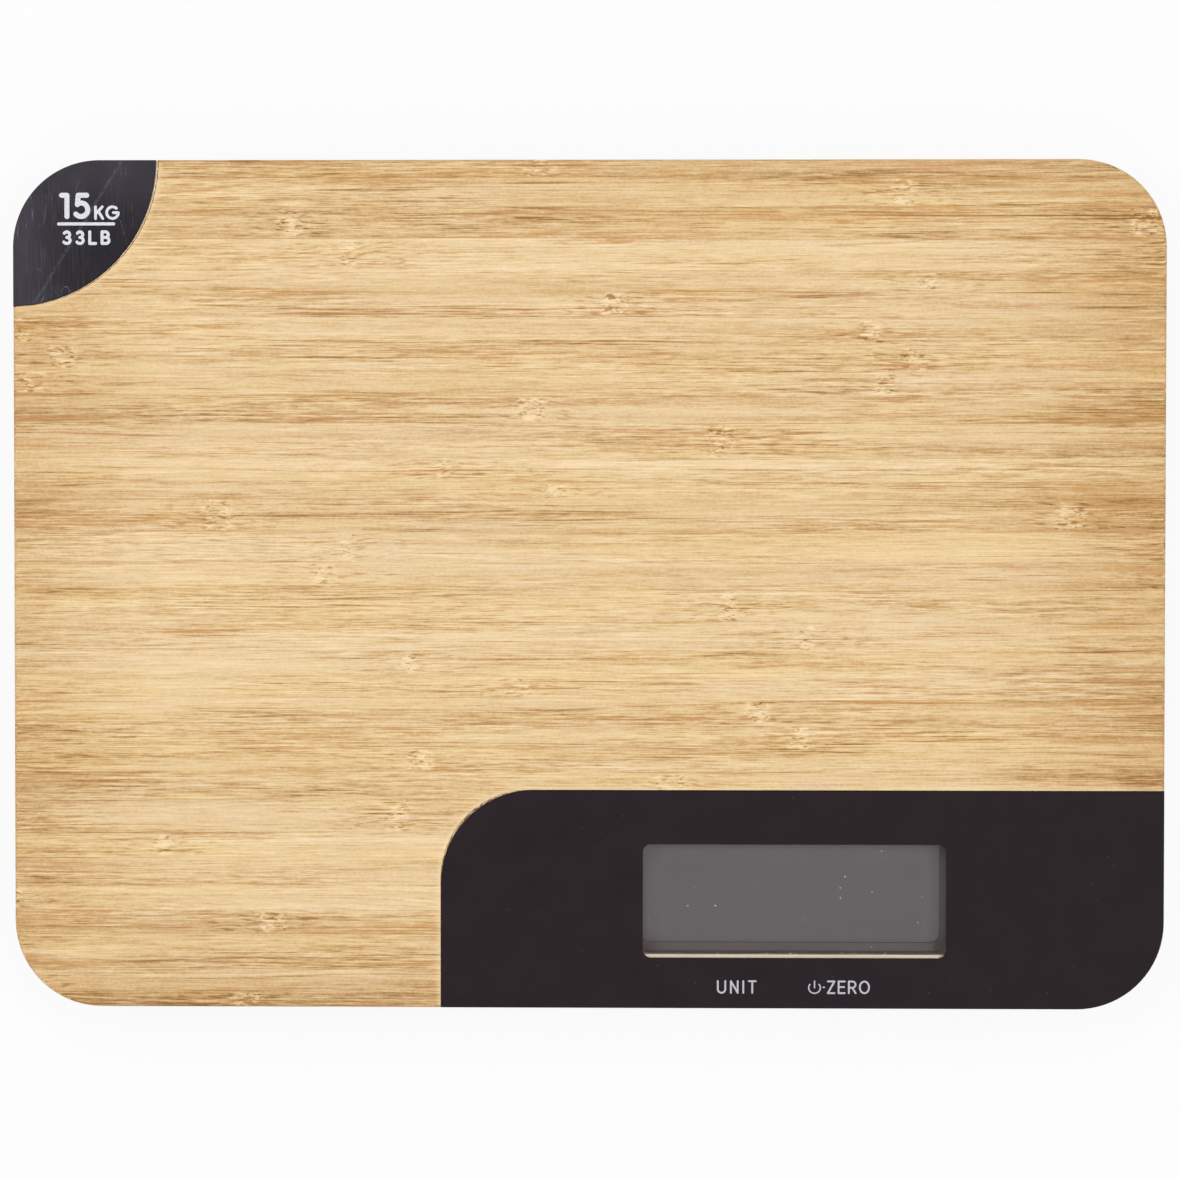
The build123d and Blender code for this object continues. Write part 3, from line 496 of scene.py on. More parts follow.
def bamboo_finish(look):
    """Laminated bamboo with its fibres along X.

    Each strip moves the grain along X and has its own tone and knuckle places. The darkness adds up long,
    middle and short fibres, livelier in some areas than in others, tones, knuckles, glue lines, dark veins
    and pale gleams, and painted shade towards the edges, and it picks a colour from pale to mark. Streaks are
    reddish in places, and strips and fibres drift between a cool and a golden tint.
    """
    finish = Finish("bamboo")
    point = finish.places()
    x, y, z = point
    strip_tone, strip_shift, strip_start, seam = strip_cells(finish, look, point)
    spot = finish.vector(x + strip_shift * STRIP_OFFSET, y, z)
    busy = finish.noise(spot, grain(0.014, 0.16), shift=29.0)
    broad = finish.noise(spot, grain(0.008, 0.4), detail=1.0, shift=5.0)
    long_fibre = finish.noise(spot, grain(0.044, 3.3), detail=1.0, shift=11.0)
    mid_fibre = finish.noise(spot, grain(0.12, 3.2), detail=1.0, shift=23.0)
    short_fibre = finish.noise(spot, grain(0.34, 3.2), detail=1.0, shift=37.0)
    speck = finish.noise(spot, grain(1.6, 2.6), detail=1.0, shift=51.0)
    redness = finish.noise(spot, grain(0.03, 0.7), shift=83.0)

    strip = (strip_tone, strip_start, seam)
    dashes, curls, flecks, core = knuckle_marks(finish, look, point, spot, strip)
    glue = finish.step(seam, 0.035, 0.012) * finish.step(redness, 0.4, 0.6)
    veins = contour_lines(finish, spot, 0.014, 0.004, 131.0) * finish.step(long_fibre, 0.4, 0.55)
    gleams = contour_lines(finish, spot, 0.012, 0.003, 149.0) * finish.step(busy, 0.6, 0.4)

    lively = 0.45 + finish.step(busy, 0.34, 0.66) * 0.72
    fibres = (long_fibre - 0.5) * 4.4 + (mid_fibre - 0.5) * 6.2 + (short_fibre - 0.5) * 4.2
    tones = (broad - 0.5) * 3.4 + (busy - 0.5) * 2.6 + (strip_tone - 0.5) * 1.1 + (speck - 0.5) * 2.0
    knuckles = dashes * 1.7 + curls * 3.1 - flecks * 2.1 - core * 0.2
    lines = glue * 1.3 + veins * 1.9 - gleams * 1.2
    # The last term is painted shade that darkens the platform towards its edges.
    weight = fibres * lively + tones + knuckles + lines + painted_edge_shade(finish, x, y)
    darkness = EVEN_DARKNESS + weight / DARKNESS_WEIGHT

    colour = finish.ramp(darkness, [
        (0.21, look.pale), (0.4, look.light), (0.5, look.fibre),
        (0.6, look.shade), (0.71, look.streak), (0.96, look.mark),
    ])
    warm = finish.step(redness, 0.46, 0.7) * finish.step(darkness, 0.42, 0.72)
    colour = finish.mix(colour, look.amber, warm * 0.6)
    slow_tint = finish.noise(spot, grain(0.01, 0.1), detail=3.0, roughness=0.6, shift=171.0)
    fine_tint = finish.noise(spot, grain(0.05, 2.4), detail=0.0, shift=191.0)
    golden = finish.step(slow_tint, 0.3, 0.7) * 0.6 + finish.step(fine_tint, 0.3, 0.7) * 0.4
    colour = finish.tint(colour, finish.mix(COOL_TINT, GOLDEN_TINT, golden))
    colour = cut_faces(finish, look, colour, point, mid_fibre)

    relief = long_fibre * 0.3 + mid_fibre * 0.4 - dashes * 0.2 - curls * 0.4
    normal = finish.bump(relief, 0.3, 0.05 * MM)
    gloss = look.roughness + (mid_fibre - 0.5) * 0.16
    return finish.set(Base_Color=colour, Roughness=gloss, Normal=normal, Specular_IOR_Level=0.19)


def cut_faces(finish, look, colour, point, fibre):
    """Colour of the cut faces below the lacquered top.

    Pocket floors are bare, pocket walls and the floor beside them are scorched, partly as painted shade of
    the narrow gap, and the window's walls and the inner rim of its front ledge have painted shade. The top
    has a painted highlight round the pockets.
    """
    x, y, z = point
    low, high = span("bamboo_platform")
    film_low, film_high = span("control_panel")
    pane_low, pane_high = span("display_window")
    floor = film_low[2]
    badge = ((x - low[0]) * (x - low[0]) + (y - high[1]) * (y - high[1])).root() - BADGE_RADIUS
    across = film_low[0] - FILM_GAP + PANEL_CORNER - x
    along = y - (film_high[1] + FILM_GAP - PANEL_CORNER)
    panel = corner_distance(across, along, PANEL_CORNER)
    outside = panel.least(badge)
    below = finish.step(z, *(high[2] - depth for depth in LACQUER_END))
    # Painted highlight on the lacquered top round the pockets' edges.
    colour = finish.mix(colour, look.pale, finish.step(outside, *PAINTED_RIM_HIGHLIGHT) * (1.0 - below) * 0.4)

    pocket = below * finish.step(z, floor - 0.4, floor - 0.1) * finish.step(outside, 0.06, 0.02)
    window = below * finish.step(y, *(pane_low[1] + inset for inset in LEDGE_EDGE))
    window = window * finish.step(y, *(pane_high[1] + margin for margin in WINDOW_REVEAL))
    window = window * finish.step(x, *(pane_low[0] - margin for margin in WINDOW_REVEAL))
    window = window * finish.step(x, *(pane_high[0] + margin for margin in WINDOW_REVEAL))
    colour = finish.mix(colour, finish.mix(look.raw, colour, fibre * 0.25), pocket.most(window))

    # Scorch by the pocket walls, which also paints the shade in the narrow gap beside the films.
    burn_and_shade = finish.noise(finish.vector(x, y, z), 1.4, shift=5.0)
    scorched_and_shaded = finish.step(panel, *PANEL_SCORCH_AND_SHADE) * finish.step(badge, *BADGE_SCORCH_AND_SHADE)
    colour = finish.mix(colour, look.scorch_and_shade, pocket * scorched_and_shaded * (0.55 + burn_and_shade * 0.6).least(1.0))
    # Painted shade on the window's front and right walls and the inner rim of its front ledge.
    front_wall = finish.step(y, pane_low[1] + 1.5, pane_low[1] + 1.3)
    right_wall = finish.step(x, pane_high[0], pane_high[0] + 0.2)
    painted_wall_shade_mask = window * front_wall.most(right_wall)
    return finish.mix(colour, look.painted_wall_shade, painted_wall_shade_mask * (0.8 + fibre * 0.3).least(1.0))


def fibre_finish(look):
    """Loose bamboo fibres, pale with darker stretches."""
    finish = Finish("loose_fibre")
    streaks = finish.noise(finish.vector(*finish.places()), 1.1)
    colour = finish.mix(look.pale, look.shade, finish.step(streaks, 0.35, 0.7))
    return finish.set(Base_Color=colour, Roughness=0.6 + streaks * 0.2, Specular_IOR_Level=0.2)


def film_finish(look, name, base, worn_and_sheened):
    """Matt black film: faint cloudy mottling, a few pale specks and, on the badge, its wear and painted
    sheen.
    """
    finish = Finish(name)
    point = finish.places()
    spot = finish.vector(*point)
    cloud = finish.noise(spot, 0.11, detail=3.0, roughness=0.6)
    specks = finish.step(finish.noise(spot, 1.7, detail=0.0, shift=9.0), 0.89, 0.92)
    colour = finish.mix(scaled(base, 0.9), scaled(base, 1.15), finish.step(cloud, 0.25, 0.75))
    colour = finish.mix(colour, tone(150, 146, 150), specks * 0.18)
    rough = look.roughness + (cloud - 0.5) * 0.1
    if worn_and_sheened:
        colour, rough = badge_wear_and_sheen(finish, point, spot, colour, rough)
    pebble = finish.noise(spot, 5.0, shift=2.0)
    normal = finish.bump(pebble, 0.12, 0.02 * MM)
    return finish.set(Base_Color=colour, Roughness=rough, Normal=normal, Specular_IOR_Level=0.075)


def badge_wear_and_sheen(finish, point, spot, colour, rough):
    """Colour and roughness of the worn badge, with painted sheen.

    Fine upright scuffs in patches, a painted sheen from the left and back edges, one frayed graze across it
    and a few hair scratches.
    """
    x, y, _ = point
    low, high = span("corner_badge")
    upright = finish.noise(spot, (3.4, 0.16, 1.0), roughness=0.6, distortion=0.2, shift=4.0)
    patch = finish.noise(spot, (0.12, 0.09, 0.1), shift=31.0)
    worn = finish.step(patch + finish.step(x, low[0] + 20.0, low[0]) * 0.16, 0.42, 0.66)
    scuff = finish.step(upright, 0.42, 0.75) * worn
    fray = finish.noise(spot, 0.9, detail=3.0, roughness=0.7, shift=63.0)
    slope = (x - low[0]) - (y - low[1]) * 0.62 + fray * 1.2
    graze = finish.step(abs(slope - 4.5), 0.55, 0.05) * finish.step(fray, 0.3, 0.62)
    strands = finish.noise(spot, (0.32, 0.07, 1.0), detail=0.0, distortion=0.3, shift=57.0)
    hair = finish.step(abs(strands - 0.5), 0.006, 0.0) * finish.step(patch, 0.5, 0.62)
    hair = hair * finish.step(fray, 0.4, 0.6)
    # Painted sheen, lighter towards the badge's left and back edges, mixed in with the scuffs' colour.
    from_edge = (x - low[0]).least(high[1] - y)
    haze = finish.step(from_edge, 14.0, 0.0) * (0.4 + patch * 0.6)
    colour = finish.mix(colour, tone(112, 109, 118), (scuff * 0.13 + haze * 0.26).least(1.0))
    colour = finish.mix(colour, tone(150, 147, 156), graze * 0.14)
    colour = finish.mix(colour, tone(186, 184, 192), hair * 0.45)
    return colour, rough - scuff * 0.1


def ink_finish(name, ink):
    """Screen-printed ink with a slightly uneven cover."""
    finish = Finish(name)
    thickness = finish.noise(finish.vector(*finish.places()), 3.0)
    colour = finish.mix(scaled(ink, 0.82), ink, finish.step(thickness, 0.3, 0.6))
    return finish.set(Base_Color=colour, Roughness=0.5 + thickness * 0.2, Specular_IOR_Level=0.3)


def pane_finish(look):
    """Clear pane: see-through, with a faint reflection, a few dust specks and one hair scratch."""
    finish = Finish("clear_pane")
    spot = finish.vector(*finish.places())
    specks = finish.step(finish.noise(spot, 1.1, detail=0.0, shift=14.0), 0.868, 0.885)
    strands = finish.noise(spot, (0.12, 0.5, 0.3), detail=1.0, distortion=0.8, shift=41.0)
    hair = finish.step(abs(strands - 0.5), 0.0025, 0.0) * finish.step(strands, 0.40, 0.60)
    facing = finish.node("ShaderNodeFresnel", sockets={"IOR": 1.45})
    share = (look.haze + facing * 0.5 + specks * 0.6 + hair * 0.04).least(1.0)
    colour = finish.mix((0.02, 0.02, 0.02), (0.85, 0.85, 0.85), specks)
    finish.set(Base_Color=colour, Roughness=0.12 + specks * 0.5, Specular_IOR_Level=0.5)
    clear = finish.node("ShaderNodeBsdfTransparent", sockets={"Color": WHITE})
    return finish.cover(finish.blend(share, clear, finish.shader))


def display_finish(look):
    """Switched-off display glass: grey with painted light at its rim, a faint cloud and fine dust."""
    finish = Finish("display_glass")
    x, y, z = finish.places()
    spot = finish.vector(x, y, z)
    cloud = finish.noise(spot, (0.05, 0.08, 0.1))
    dust = finish.noise(spot, 1.6, detail=0.0, shift=22.0)
    low, high = span("display_window")
    # Painted light towards the glass's edges, lifting the shade of the recess.
    beside = finish.step((x - low[0]).least(high[0] - x), GLASS_LIGHT_RIM, 0.0)
    before = finish.step((y - low[1]).least(high[1] - y), GLASS_LIGHT_RIM, 0.0)
    gain = 1.0 + (beside + before - beside * before * 0.35) * 0.4 + cloud * 0.06
    colour = finish.tint(tuple(look.glass), finish.vector(gain, gain, gain))
    colour = finish.mix(colour, tone(190, 188, 190), finish.step(dust, 0.89, 0.91) * 0.6)
    return finish.set(Base_Color=colour, Roughness=0.3 + cloud * 0.1, Specular_IOR_Level=0.22)


def moulded_finish(name, colour, roughness=0.5, spark=3.0, depth=0.03, shine=0.4, painted_shade_from=None):
    """Moulded plastic: fine spark grain, faint tone drift and slightly rubbed patches.

    The spark is in cycles per millimetre and its depth in millimetres. Where a place for painted shade is
    given, in millimetres, the plastic to the right of it is darker with painted shade.
    """
    finish = Finish(name)
    x, y, z = finish.places()
    spot = finish.vector(x, y, z)
    fine = finish.noise(spot, spark, roughness=0.6)
    drift = finish.noise(spot, 0.05, shift=8.0)
    tinted = finish.mix(scaled(colour, 0.86), scaled(colour, 1.12, 0.001), drift * 0.7 + fine * 0.3)
    if painted_shade_from is not None:
        # Painted shade to the right of the given place.
        gain = 1.0 - finish.step(x, painted_shade_from - 0.2, painted_shade_from + 0.2) * 0.24
        tinted = finish.tint(tinted, finish.vector(gain, gain, gain))
    normal = finish.bump(fine, 0.3, depth * MM)
    rough = roughness + (drift - 0.5) * 0.16 + (fine - 0.5) * 0.12
    return finish.set(Base_Color=tinted, Roughness=rough, Normal=normal, Specular_IOR_Level=shine)


def rubber_finish(name, colour):
    """Matt rubber with a fine pebble and a little dust."""
    finish = Finish(name)
    spot = finish.vector(*finish.places())
    pebble = finish.noise(spot, 2.6, roughness=0.6)
    dust = finish.noise(spot, 0.5, detail=3.0, roughness=0.7, shift=12.0)
    dusty = scaled(colour, 1.5, 0.012)
    tinted = finish.mix(tuple(colour), dusty, finish.step(dust, 0.5, 0.75) * 0.6)
    rough = 0.75 + pebble * 0.2
    normal = finish.bump(pebble, 0.3, 0.05 * MM)
    return finish.set(Base_Color=tinted, Roughness=rough, Normal=normal, Specular_IOR_Level=0.25)


def brushed_finish(name, colour, along=(0.2, 6.0, 6.0), roughness=0.34):
    """Brushed or rolled metal: fine lines along one axis that vary tone and roughness."""
    finish = Finish(name)
    spot = finish.vector(*finish.places())
    lines = finish.noise(spot, along, detail=3.0, roughness=0.6)
    spots = finish.noise(spot, 0.7, shift=6.0)
    tinted = finish.mix(scaled(colour, 0.8), tuple(colour), lines * 0.7 + spots * 0.3)
    rough = roughness + (lines - 0.5) * 0.25
    normal = finish.bump(lines, 0.15, 0.01 * MM)
    return finish.set(Base_Color=tinted, Metallic=1.0, Roughness=rough, Normal=normal)


def circuit_finish():
    """Green solder mask, paler and raised along straight copper tracks."""
    finish = Finish("circuit_green")
    spot = finish.vector(*finish.places())
    layout = {
        "Vector": spot, "Scale": 0.5, "Mortar Size": 0.05, "Brick Width": 3.1, "Row Height": 0.7,
        "Color1": (0.0, 0.0, 0.0), "Color2": (0.1, 0.1, 0.1), "Mortar": WHITE,
    }
    tracks = finish.node("ShaderNodeTexBrick", {"offset": 0.37, "offset_frequency": 3}, layout, output="Fac")
    mottle = finish.noise(spot, 0.8)
    colour = finish.mix(tone(18, 92, 52), tone(52, 136, 76), tracks * 0.8 + mottle * 0.2)
    normal = finish.bump(tracks, 0.3, 0.03 * MM)
    return finish.set(Base_Color=colour, Roughness=0.34 + mottle * 0.1, Normal=normal)


def component_finish():
    """Tan ceramic blocks with tinned ends, and a bright metal can behind them."""
    finish = Finish("component_body")
    x, y, z = finish.places()
    chip_low, chip_high = span("controller_chip")
    middle = (chip_low[0] + chip_high[0]) / 2
    mottle = finish.noise(finish.vector(x, y, z), 2.0)
    can = finish.step(y, chip_high[1], chip_high[1] + 0.5)
    ends = finish.step(abs(x - middle), 0.6, 0.7)
    metal = can.most(ends)
    body = finish.mix(tone(150, 112, 72), tone(186, 146, 100), mottle)
    colour = finish.mix(body, tone(200, 200, 202), metal)
    return finish.set(Base_Color=colour, Metallic=metal, Roughness=0.3 + mottle * 0.2)


def tube_faces(stations, sides):
    """Quads of a closed tube whose corners run station by station, with both ends capped by one face."""
    index = np.arange(stations * sides).reshape(stations, sides)
    following = np.roll(index, -1, axis=1)
    walls = np.stack([index[:-1], index[1:], following[1:], following[:-1]], axis=-1).reshape(-1, 4)
    return np.vstack([walls, index[:1], index[-1:, ::-1]])


def ribbon(path, width, base, height):
    """Corners and faces of a printed stroke with round ends.

    Stations lie along the path at even steps and, past each end, at half a width times a cosine. The half
    width is the stroke's along the path and the root of its square less the overshoot's square past the
    ends. Each station has four corners: plus and minus the half width along the path's normal, at the
    base and at the base plus the height.
    """
    path = np.asarray(path, float)
    reach = np.concatenate([[0.0], np.cumsum(np.linalg.norm(np.diff(path, axis=0), axis=1))])
    end = reach[-1]
    half = width / 2

    def places(lengths):
        return np.stack([np.interp(lengths, reach, path[:, axis]) for axis in range(2)], axis=1)

    rounding = half * np.cos(np.linspace(0.05, 1.0, ROUND_STATIONS) * math.pi / 2)
    middle = np.linspace(0.0, end, max(2, int(end / (width * STROKE_STEP)) + 2))
    along = np.concatenate([-rounding, middle[1:-1], end + rounding[::-1]])
    inner = np.clip(along, 0.0, end)
    over = along - inner
    ahead = np.clip(inner + width * HEADING_REACH, 0.0, end)
    behind = np.clip(inner - width * HEADING_REACH, 0.0, end)
    heading = places(ahead) - places(behind)
    heading /= np.linalg.norm(heading, axis=1, keepdims=True)
    centre = places(inner) + heading * over[:, None]
    side = np.stack([-heading[:, 1], heading[:, 0]], axis=1) * np.sqrt(half ** 2 - over ** 2)[:, None]
    flat = np.stack([centre + side, centre - side, centre - side, centre + side], axis=1)
    level = np.broadcast_to([base, base, base + height, base + height], flat.shape[:2])
    corners = np.concatenate([flat, level[..., None]], axis=-1)
    return corners.reshape(-1, 3), tube_faces(len(along), 4)


def spikes(roots, headings, lengths, widths, bends):
    """Corners and faces of many tapering fibres.

    At share s of its length a fibre's middle is root + heading * length * s + bend * length * s squared, and
    its half width is half the width times (1 - s) ** 0.6, with a hundredth kept at the tip. Four corners
    stand round the middle, square to the heading.
    """
    share = np.linspace(0.0, 1.0, FIBRE_STATIONS)
    steps = lengths[:, None, None] * (
        headings[:, None] * share[None, :, None] + bends[:, None] * share[None, :, None] ** 2
    )
    middle = roots[:, None] + steps
    half = widths[:, None] / 2 * np.maximum((1 - share[None]) ** 0.6, 0.01)
    side = np.cross(headings, [0.0, 0.0, 1.0])
    side /= np.linalg.norm(side, axis=1, keepdims=True)
    up = np.cross(side, headings)
    turn = np.radians([45, 135, 225, 315])
    round_it = np.cos(turn)[:, None, None] * side + np.sin(turn)[:, None, None] * up
    corners = middle[:, :, None] + half[:, :, None, None] * round_it.transpose(1, 0, 2)[:, None]
    faces = tube_faces(len(share), 4)[:, ::-1]
    offsets = np.arange(len(roots)) * len(share) * 4
    return corners.reshape(-1, 3), (faces[None] + offsets[:, None, None]).reshape(-1, 4)


def gather(shapes):
    """Joins the corners and faces of several shapes."""
    counts = np.cumsum([0] + [len(points) for points, _ in shapes])
    points = np.vstack([points for points, _ in shapes])
    return points, np.vstack([faces + start for (_, faces), start in zip(shapes, counts)])


def add_piece(name, shape, material):
    """Makes a mesh piece from corners in millimetres and faces, and rides it on the scale."""
    points, faces = shape
    mesh = bpy.data.meshes.new(name)
    mesh.from_pydata(points * MM, [], faces)
    mesh.validate()
    mesh.update()
    mesh.materials.append(material)
    piece = bpy.data.objects.new(name, mesh)
    bpy.context.scene.collection.objects.link(piece)
    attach(piece, BODY)


def bow(x, y, wide, tall, start, end):
    """Points of an elliptical arc: x + wide cos a and y + tall sin a, with a from start to end in degrees."""
    angle = np.radians(np.linspace(start, end, ARC_POINTS))
    return np.stack([x + wide * np.cos(angle), y + tall * np.sin(angle)], axis=1)


def run(*stretches):
    """One path through points and arcs in turn."""
    return np.vstack([np.atleast_2d(stretch) for stretch in stretches])


# Letterforms with strokes of one width, one unit high from the middle of the base stroke to the top one's.
STEM = run((0, 0), (0, 1))
GLYPHS = {
    "U": [run((0, 1), bow(0.32, 0.32, 0.32, 0.32, 180, 360), (0.64, 1))],
    "N": [STEM, run((0, 1), (0.58, 0)), run((0.58, 0), (0.58, 1))],
    "I": [STEM],
    "T": [run((0, 1), (0.58, 1)), run((0.29, 1), (0.29, 0))],
    "Z": [run((0, 1), (0.56, 1)), run((0.56, 1), (0, 0)), run((0, 0), (0.56, 0))],
    "E": [STEM, run((0, 1), (0.52, 1)), run((0, 0.52), (0.46, 0.52)), run((0, 0), (0.52, 0))],
    "R": [
        STEM,
        run((0, 1), bow(0.3, 0.735, 0.265, 0.265, 90, -90), (0, 0.47)),
        run((0.28, 0.47), (0.58, 0)),
    ],
    "O": [bow(0.39, 0.5, 0.39, 0.5, 90, 270), bow(0.39, 0.5, 0.39, 0.5, -90, 90)],
    "K": [STEM, run((0.58, 1), (0.02, 0.4)), run((0.24, 0.63), (0.62, 0))],
    "G": [bow(0.5, 0.5, 0.5, 0.5, 48, 358), run((0.58, 0.5), (1.0, 0.5))],
    "L": [STEM, run((0, 0), (0.5, 0))],
    "B": [
        STEM,
        run((0, 1), bow(0.3, 0.76, 0.24, 0.24, 90, -90), (0, 0.52)),
        run((0.3, 0.52), bow(0.34, 0.26, 0.26, 0.26, 90, -90), (0, 0)),
    ],
    "1": [run((0, 1), (0.25, 1)), run((0.25, 1), (0.25, 0))],
    "3": [bow(0.28, 0.76, 0.25, 0.24, 150, -90), bow(0.28, 0.26, 0.29, 0.26, 90, -150)],
    "5": [
        run((0.52, 1), (0.12, 1)),
        run((0.12, 1), (0.08, 0.56)),
        bow(0.25, 0.32, 0.32, 0.32, 122, -140),
    ],
    "-": [run((0, 0.5), (0.1, 0.5))],
    "power": [bow(0.5, 0.45, 0.48, 0.45, 142, 398), run((0.5, 0.46), (0.5, 1))],
}


def lettering(marks, middle, edges, base, capital, stroke):
    """Stroke paths of a row of marks between two edges, which are measured from a middle.

    Each mark's unit paths are scaled by the capital height less one stroke, and the room that is left over
    is shared evenly between the marks.
    """
    left, right = (middle + edge for edge in edges)
    scale = capital - stroke
    glyphs = [GLYPHS[mark] for mark in marks]
    widths = [max(path[:, 0].max() for path in glyph) * scale + stroke for glyph in glyphs]
    gap = (right - left - sum(widths)) / max(1, len(marks) - 1)
    paths = []
    for glyph, width in zip(glyphs, widths):
        paths += [path * scale + (left + stroke / 2, base + stroke / 2) for path in glyph]
        left += width + gap
    return paths


def inked(paths, stroke, level, height):
    """Ribbons along stroke paths, sunk a little into the film, each a shade higher than the one before."""
    lift = height * INK_SINK
    return [
        ribbon(path, stroke, level - lift, height + lift * (1 + i % INK_LAYERS))
        for i, path in enumerate(paths)
    ]


class Maker:
    """Common ground of the operators."""

    bl_options = {"REGISTER", "UNDO"}


class SCALE_OT_platform(Maker, bpy.types.Operator):
    """Finish the bamboo platform"""

    bl_idname = "kitchen_scale.platform"
    bl_label = "Bamboo platform"

    def execute(self, context):
        dress(bamboo_finish(context.scene.scale_bamboo), "bamboo_platform")
        return {"FINISHED"}


class SCALE_OT_fibres(Maker, bpy.types.Operator):
    """Add the loose fibres that the cutter left in the pockets and at the window"""

    bl_idname = "kitchen_scale.fibres"
    bl_label = "Loose fibres"

    def execute(self, context):
        material = fibre_finish(context.scene.scale_bamboo)
        chance = np.random.default_rng(7)
        low, high = span("bamboo_platform")
        film_low, film_high = span("control_panel")
        badge_turn = np.radians(chance.uniform(-89, -1, BADGE_FIBRES))
        panel_turn = np.radians(chance.uniform(92, 178, PANEL_FIBRES))
        badge_gap = FILM_GAP + BADGE_SHIFT * np.cos(badge_turn)
        panel_gap = FILM_GAP + PANEL_SPARE * np.abs(np.sin(2 * panel_turn))
        badge_centre = (low[0], high[1])
        panel_centre = (film_low[0] - FILM_GAP + PANEL_CORNER, film_high[1] + FILM_GAP - PANEL_CORNER)
        badge = self.pocket(chance, badge_centre, BADGE_RADIUS, badge_turn, badge_gap)
        panel = self.pocket(chance, panel_centre, PANEL_CORNER, panel_turn, panel_gap)
        add_piece("badge_fibres", badge, material)
        add_piece("panel_fibres", panel, material)
        add_piece("window_fibres", self.ledge(chance), material)
        return {"FINISHED"}

    def pocket(self, chance, centre, radius, turn, gap):
        """Fibres along a round pocket wall: roots about half way across the gap, heading along it."""
        count = len(turn)
        floor = span("control_panel")[0][2]
        reach = radius - gap * chance.uniform(0.3, 0.6, count)
        roots = np.stack([
            centre[0] + reach * np.cos(turn),
            centre[1] + reach * np.sin(turn),
            floor + chance.uniform(0.28, 0.42, count),
        ], axis=1)
        swing = turn + math.pi / 2 + chance.normal(0.0, 0.06, count)
        headings = np.stack([np.cos(swing), np.sin(swing), chance.uniform(-0.05, 0.05, count)], axis=1)
        headings /= np.linalg.norm(headings, axis=1, keepdims=True)
        lengths = chance.uniform(0.4, 1.1, count)
        widths = gap * chance.uniform(0.25, 0.5, count)
        outwards = np.stack([np.cos(turn), np.sin(turn), np.zeros(count)], axis=1)
        bends = -0.5 / radius * outwards * lengths[:, None]
        return spikes(roots, headings, lengths, widths, bends)

    def ledge(self, chance):
        """Fibres on the ledge at the window's front, pointing into the opening, half of them in tufts."""
        low, high = span("display_window")
        floor = span("control_panel")[0][2]
        tufts = chance.uniform(low[0] + 3.0, high[0] - 1.0, TUFTS)
        beside = np.concatenate([
            chance.uniform(low[0] + 1.0, high[0] - 0.4, LEDGE_FIBRES),
            np.repeat(tufts, TUFT_FIBRES) + chance.normal(0.0, 0.4, TUFTS * TUFT_FIBRES),
        ])
        count = len(beside)
        inner_edge = np.full(count, low[1] + LEDGE_EDGE[0])
        roots = np.stack([beside, inner_edge, floor - chance.uniform(0.02, 0.2, count)], axis=1)
        headings = np.stack([
            chance.normal(0.0, 0.9, count), np.ones(count), chance.normal(0.0, 0.15, count),
        ], axis=1)
        headings /= np.linalg.norm(headings, axis=1, keepdims=True)
        shortest = np.where(np.arange(count) < LEDGE_FIBRES, 0.1, 0.3)
        lengths = shortest + chance.gamma(2.0, 0.08, count)
        widths = chance.uniform(0.1, 0.24, count)
        bends = chance.normal(0.0, 0.15, (count, 3))
        return spikes(roots, headings, lengths, widths, bends)


class SCALE_OT_films(Maker, bpy.types.Operator):
    """Finish the control panel and the corner badge"""

    bl_idname = "kitchen_scale.films"
    bl_label = "Black films"

    def execute(self, context):
        look = context.scene.scale_film
        dress(film_finish(look, "panel_film", look.film, False), "control_panel")
        dress(film_finish(look, "badge_film", look.badge_film, True), "corner_badge")
        return {"FINISHED"}


class SCALE_OT_key_marks(Maker, bpy.types.Operator):
    """Print the marks of the two keys"""

    bl_idname = "kitchen_scale.key_marks"
    bl_label = "Key marks"

    def execute(self, context):
        look = context.scene.scale_film
        material = ink_finish("key_ink", tuple(look.key_ink))
        capital = look.key_capital / MM
        stroke = look.key_stroke / MM
        height = look.ink_height / MM
        thin = stroke * THIN_SHARE
        level = span("control_panel")[1][2]
        unit = sum(span("unit_key_plunger")) / 2
        zero = sum(span("zero_key_plunger")) / 2
        base = unit[1] - capital / 2 - KEY_MARK_DROP
        unit_paths = lettering("UNIT", unit[0], UNIT_EDGES, base, capital, stroke)
        zero_paths = lettering("ZERO", zero[0], ZERO_EDGES, base, capital, stroke)
        sign_paths = lettering(["power"], zero[0], POWER_EDGES, base, capital, thin)
        sign_paths += lettering("-", zero[0], DASH_EDGES, base, capital, thin)
        unit_marks = inked(unit_paths, stroke, level, height)
        zero_marks = inked(zero_paths, stroke, level, height) + inked(sign_paths, thin, level, height)
        add_piece("unit_key_mark", gather(unit_marks), material)
        add_piece("zero_key_mark", gather(zero_marks), material)
        return {"FINISHED"}


class SCALE_OT_badge_mark(Maker, bpy.types.Operator):
    """Print the capacity mark on the corner badge"""

    bl_idname = "kitchen_scale.badge_mark"
    bl_label = "Capacity mark"

    def execute(self, context):
        look = context.scene.scale_film
        material = ink_finish("badge_ink", tuple(look.badge_ink))
        height = look.ink_height / MM
        low, high = span("corner_badge")
        level = high[2]
        left = low[0] + CAPACITY_LEFT
        top = high[1] - CAPACITY_TOP
        line = run(*((left + edge, top - CAPACITY_LINE["drop"]) for edge in CAPACITY_LINE["edges"]))
        shapes = inked([line], CAPACITY_LINE["stroke"], level, height)
        for marks, row in CAPACITY_ROWS.items():
            base = top - row["drop"]
            paths = lettering(marks, left, row["edges"], base, row["capital"], row["stroke"])
            shapes += inked(paths, row["stroke"], level, height)
        add_piece("capacity_mark", gather(shapes), material)
        return {"FINISHED"}


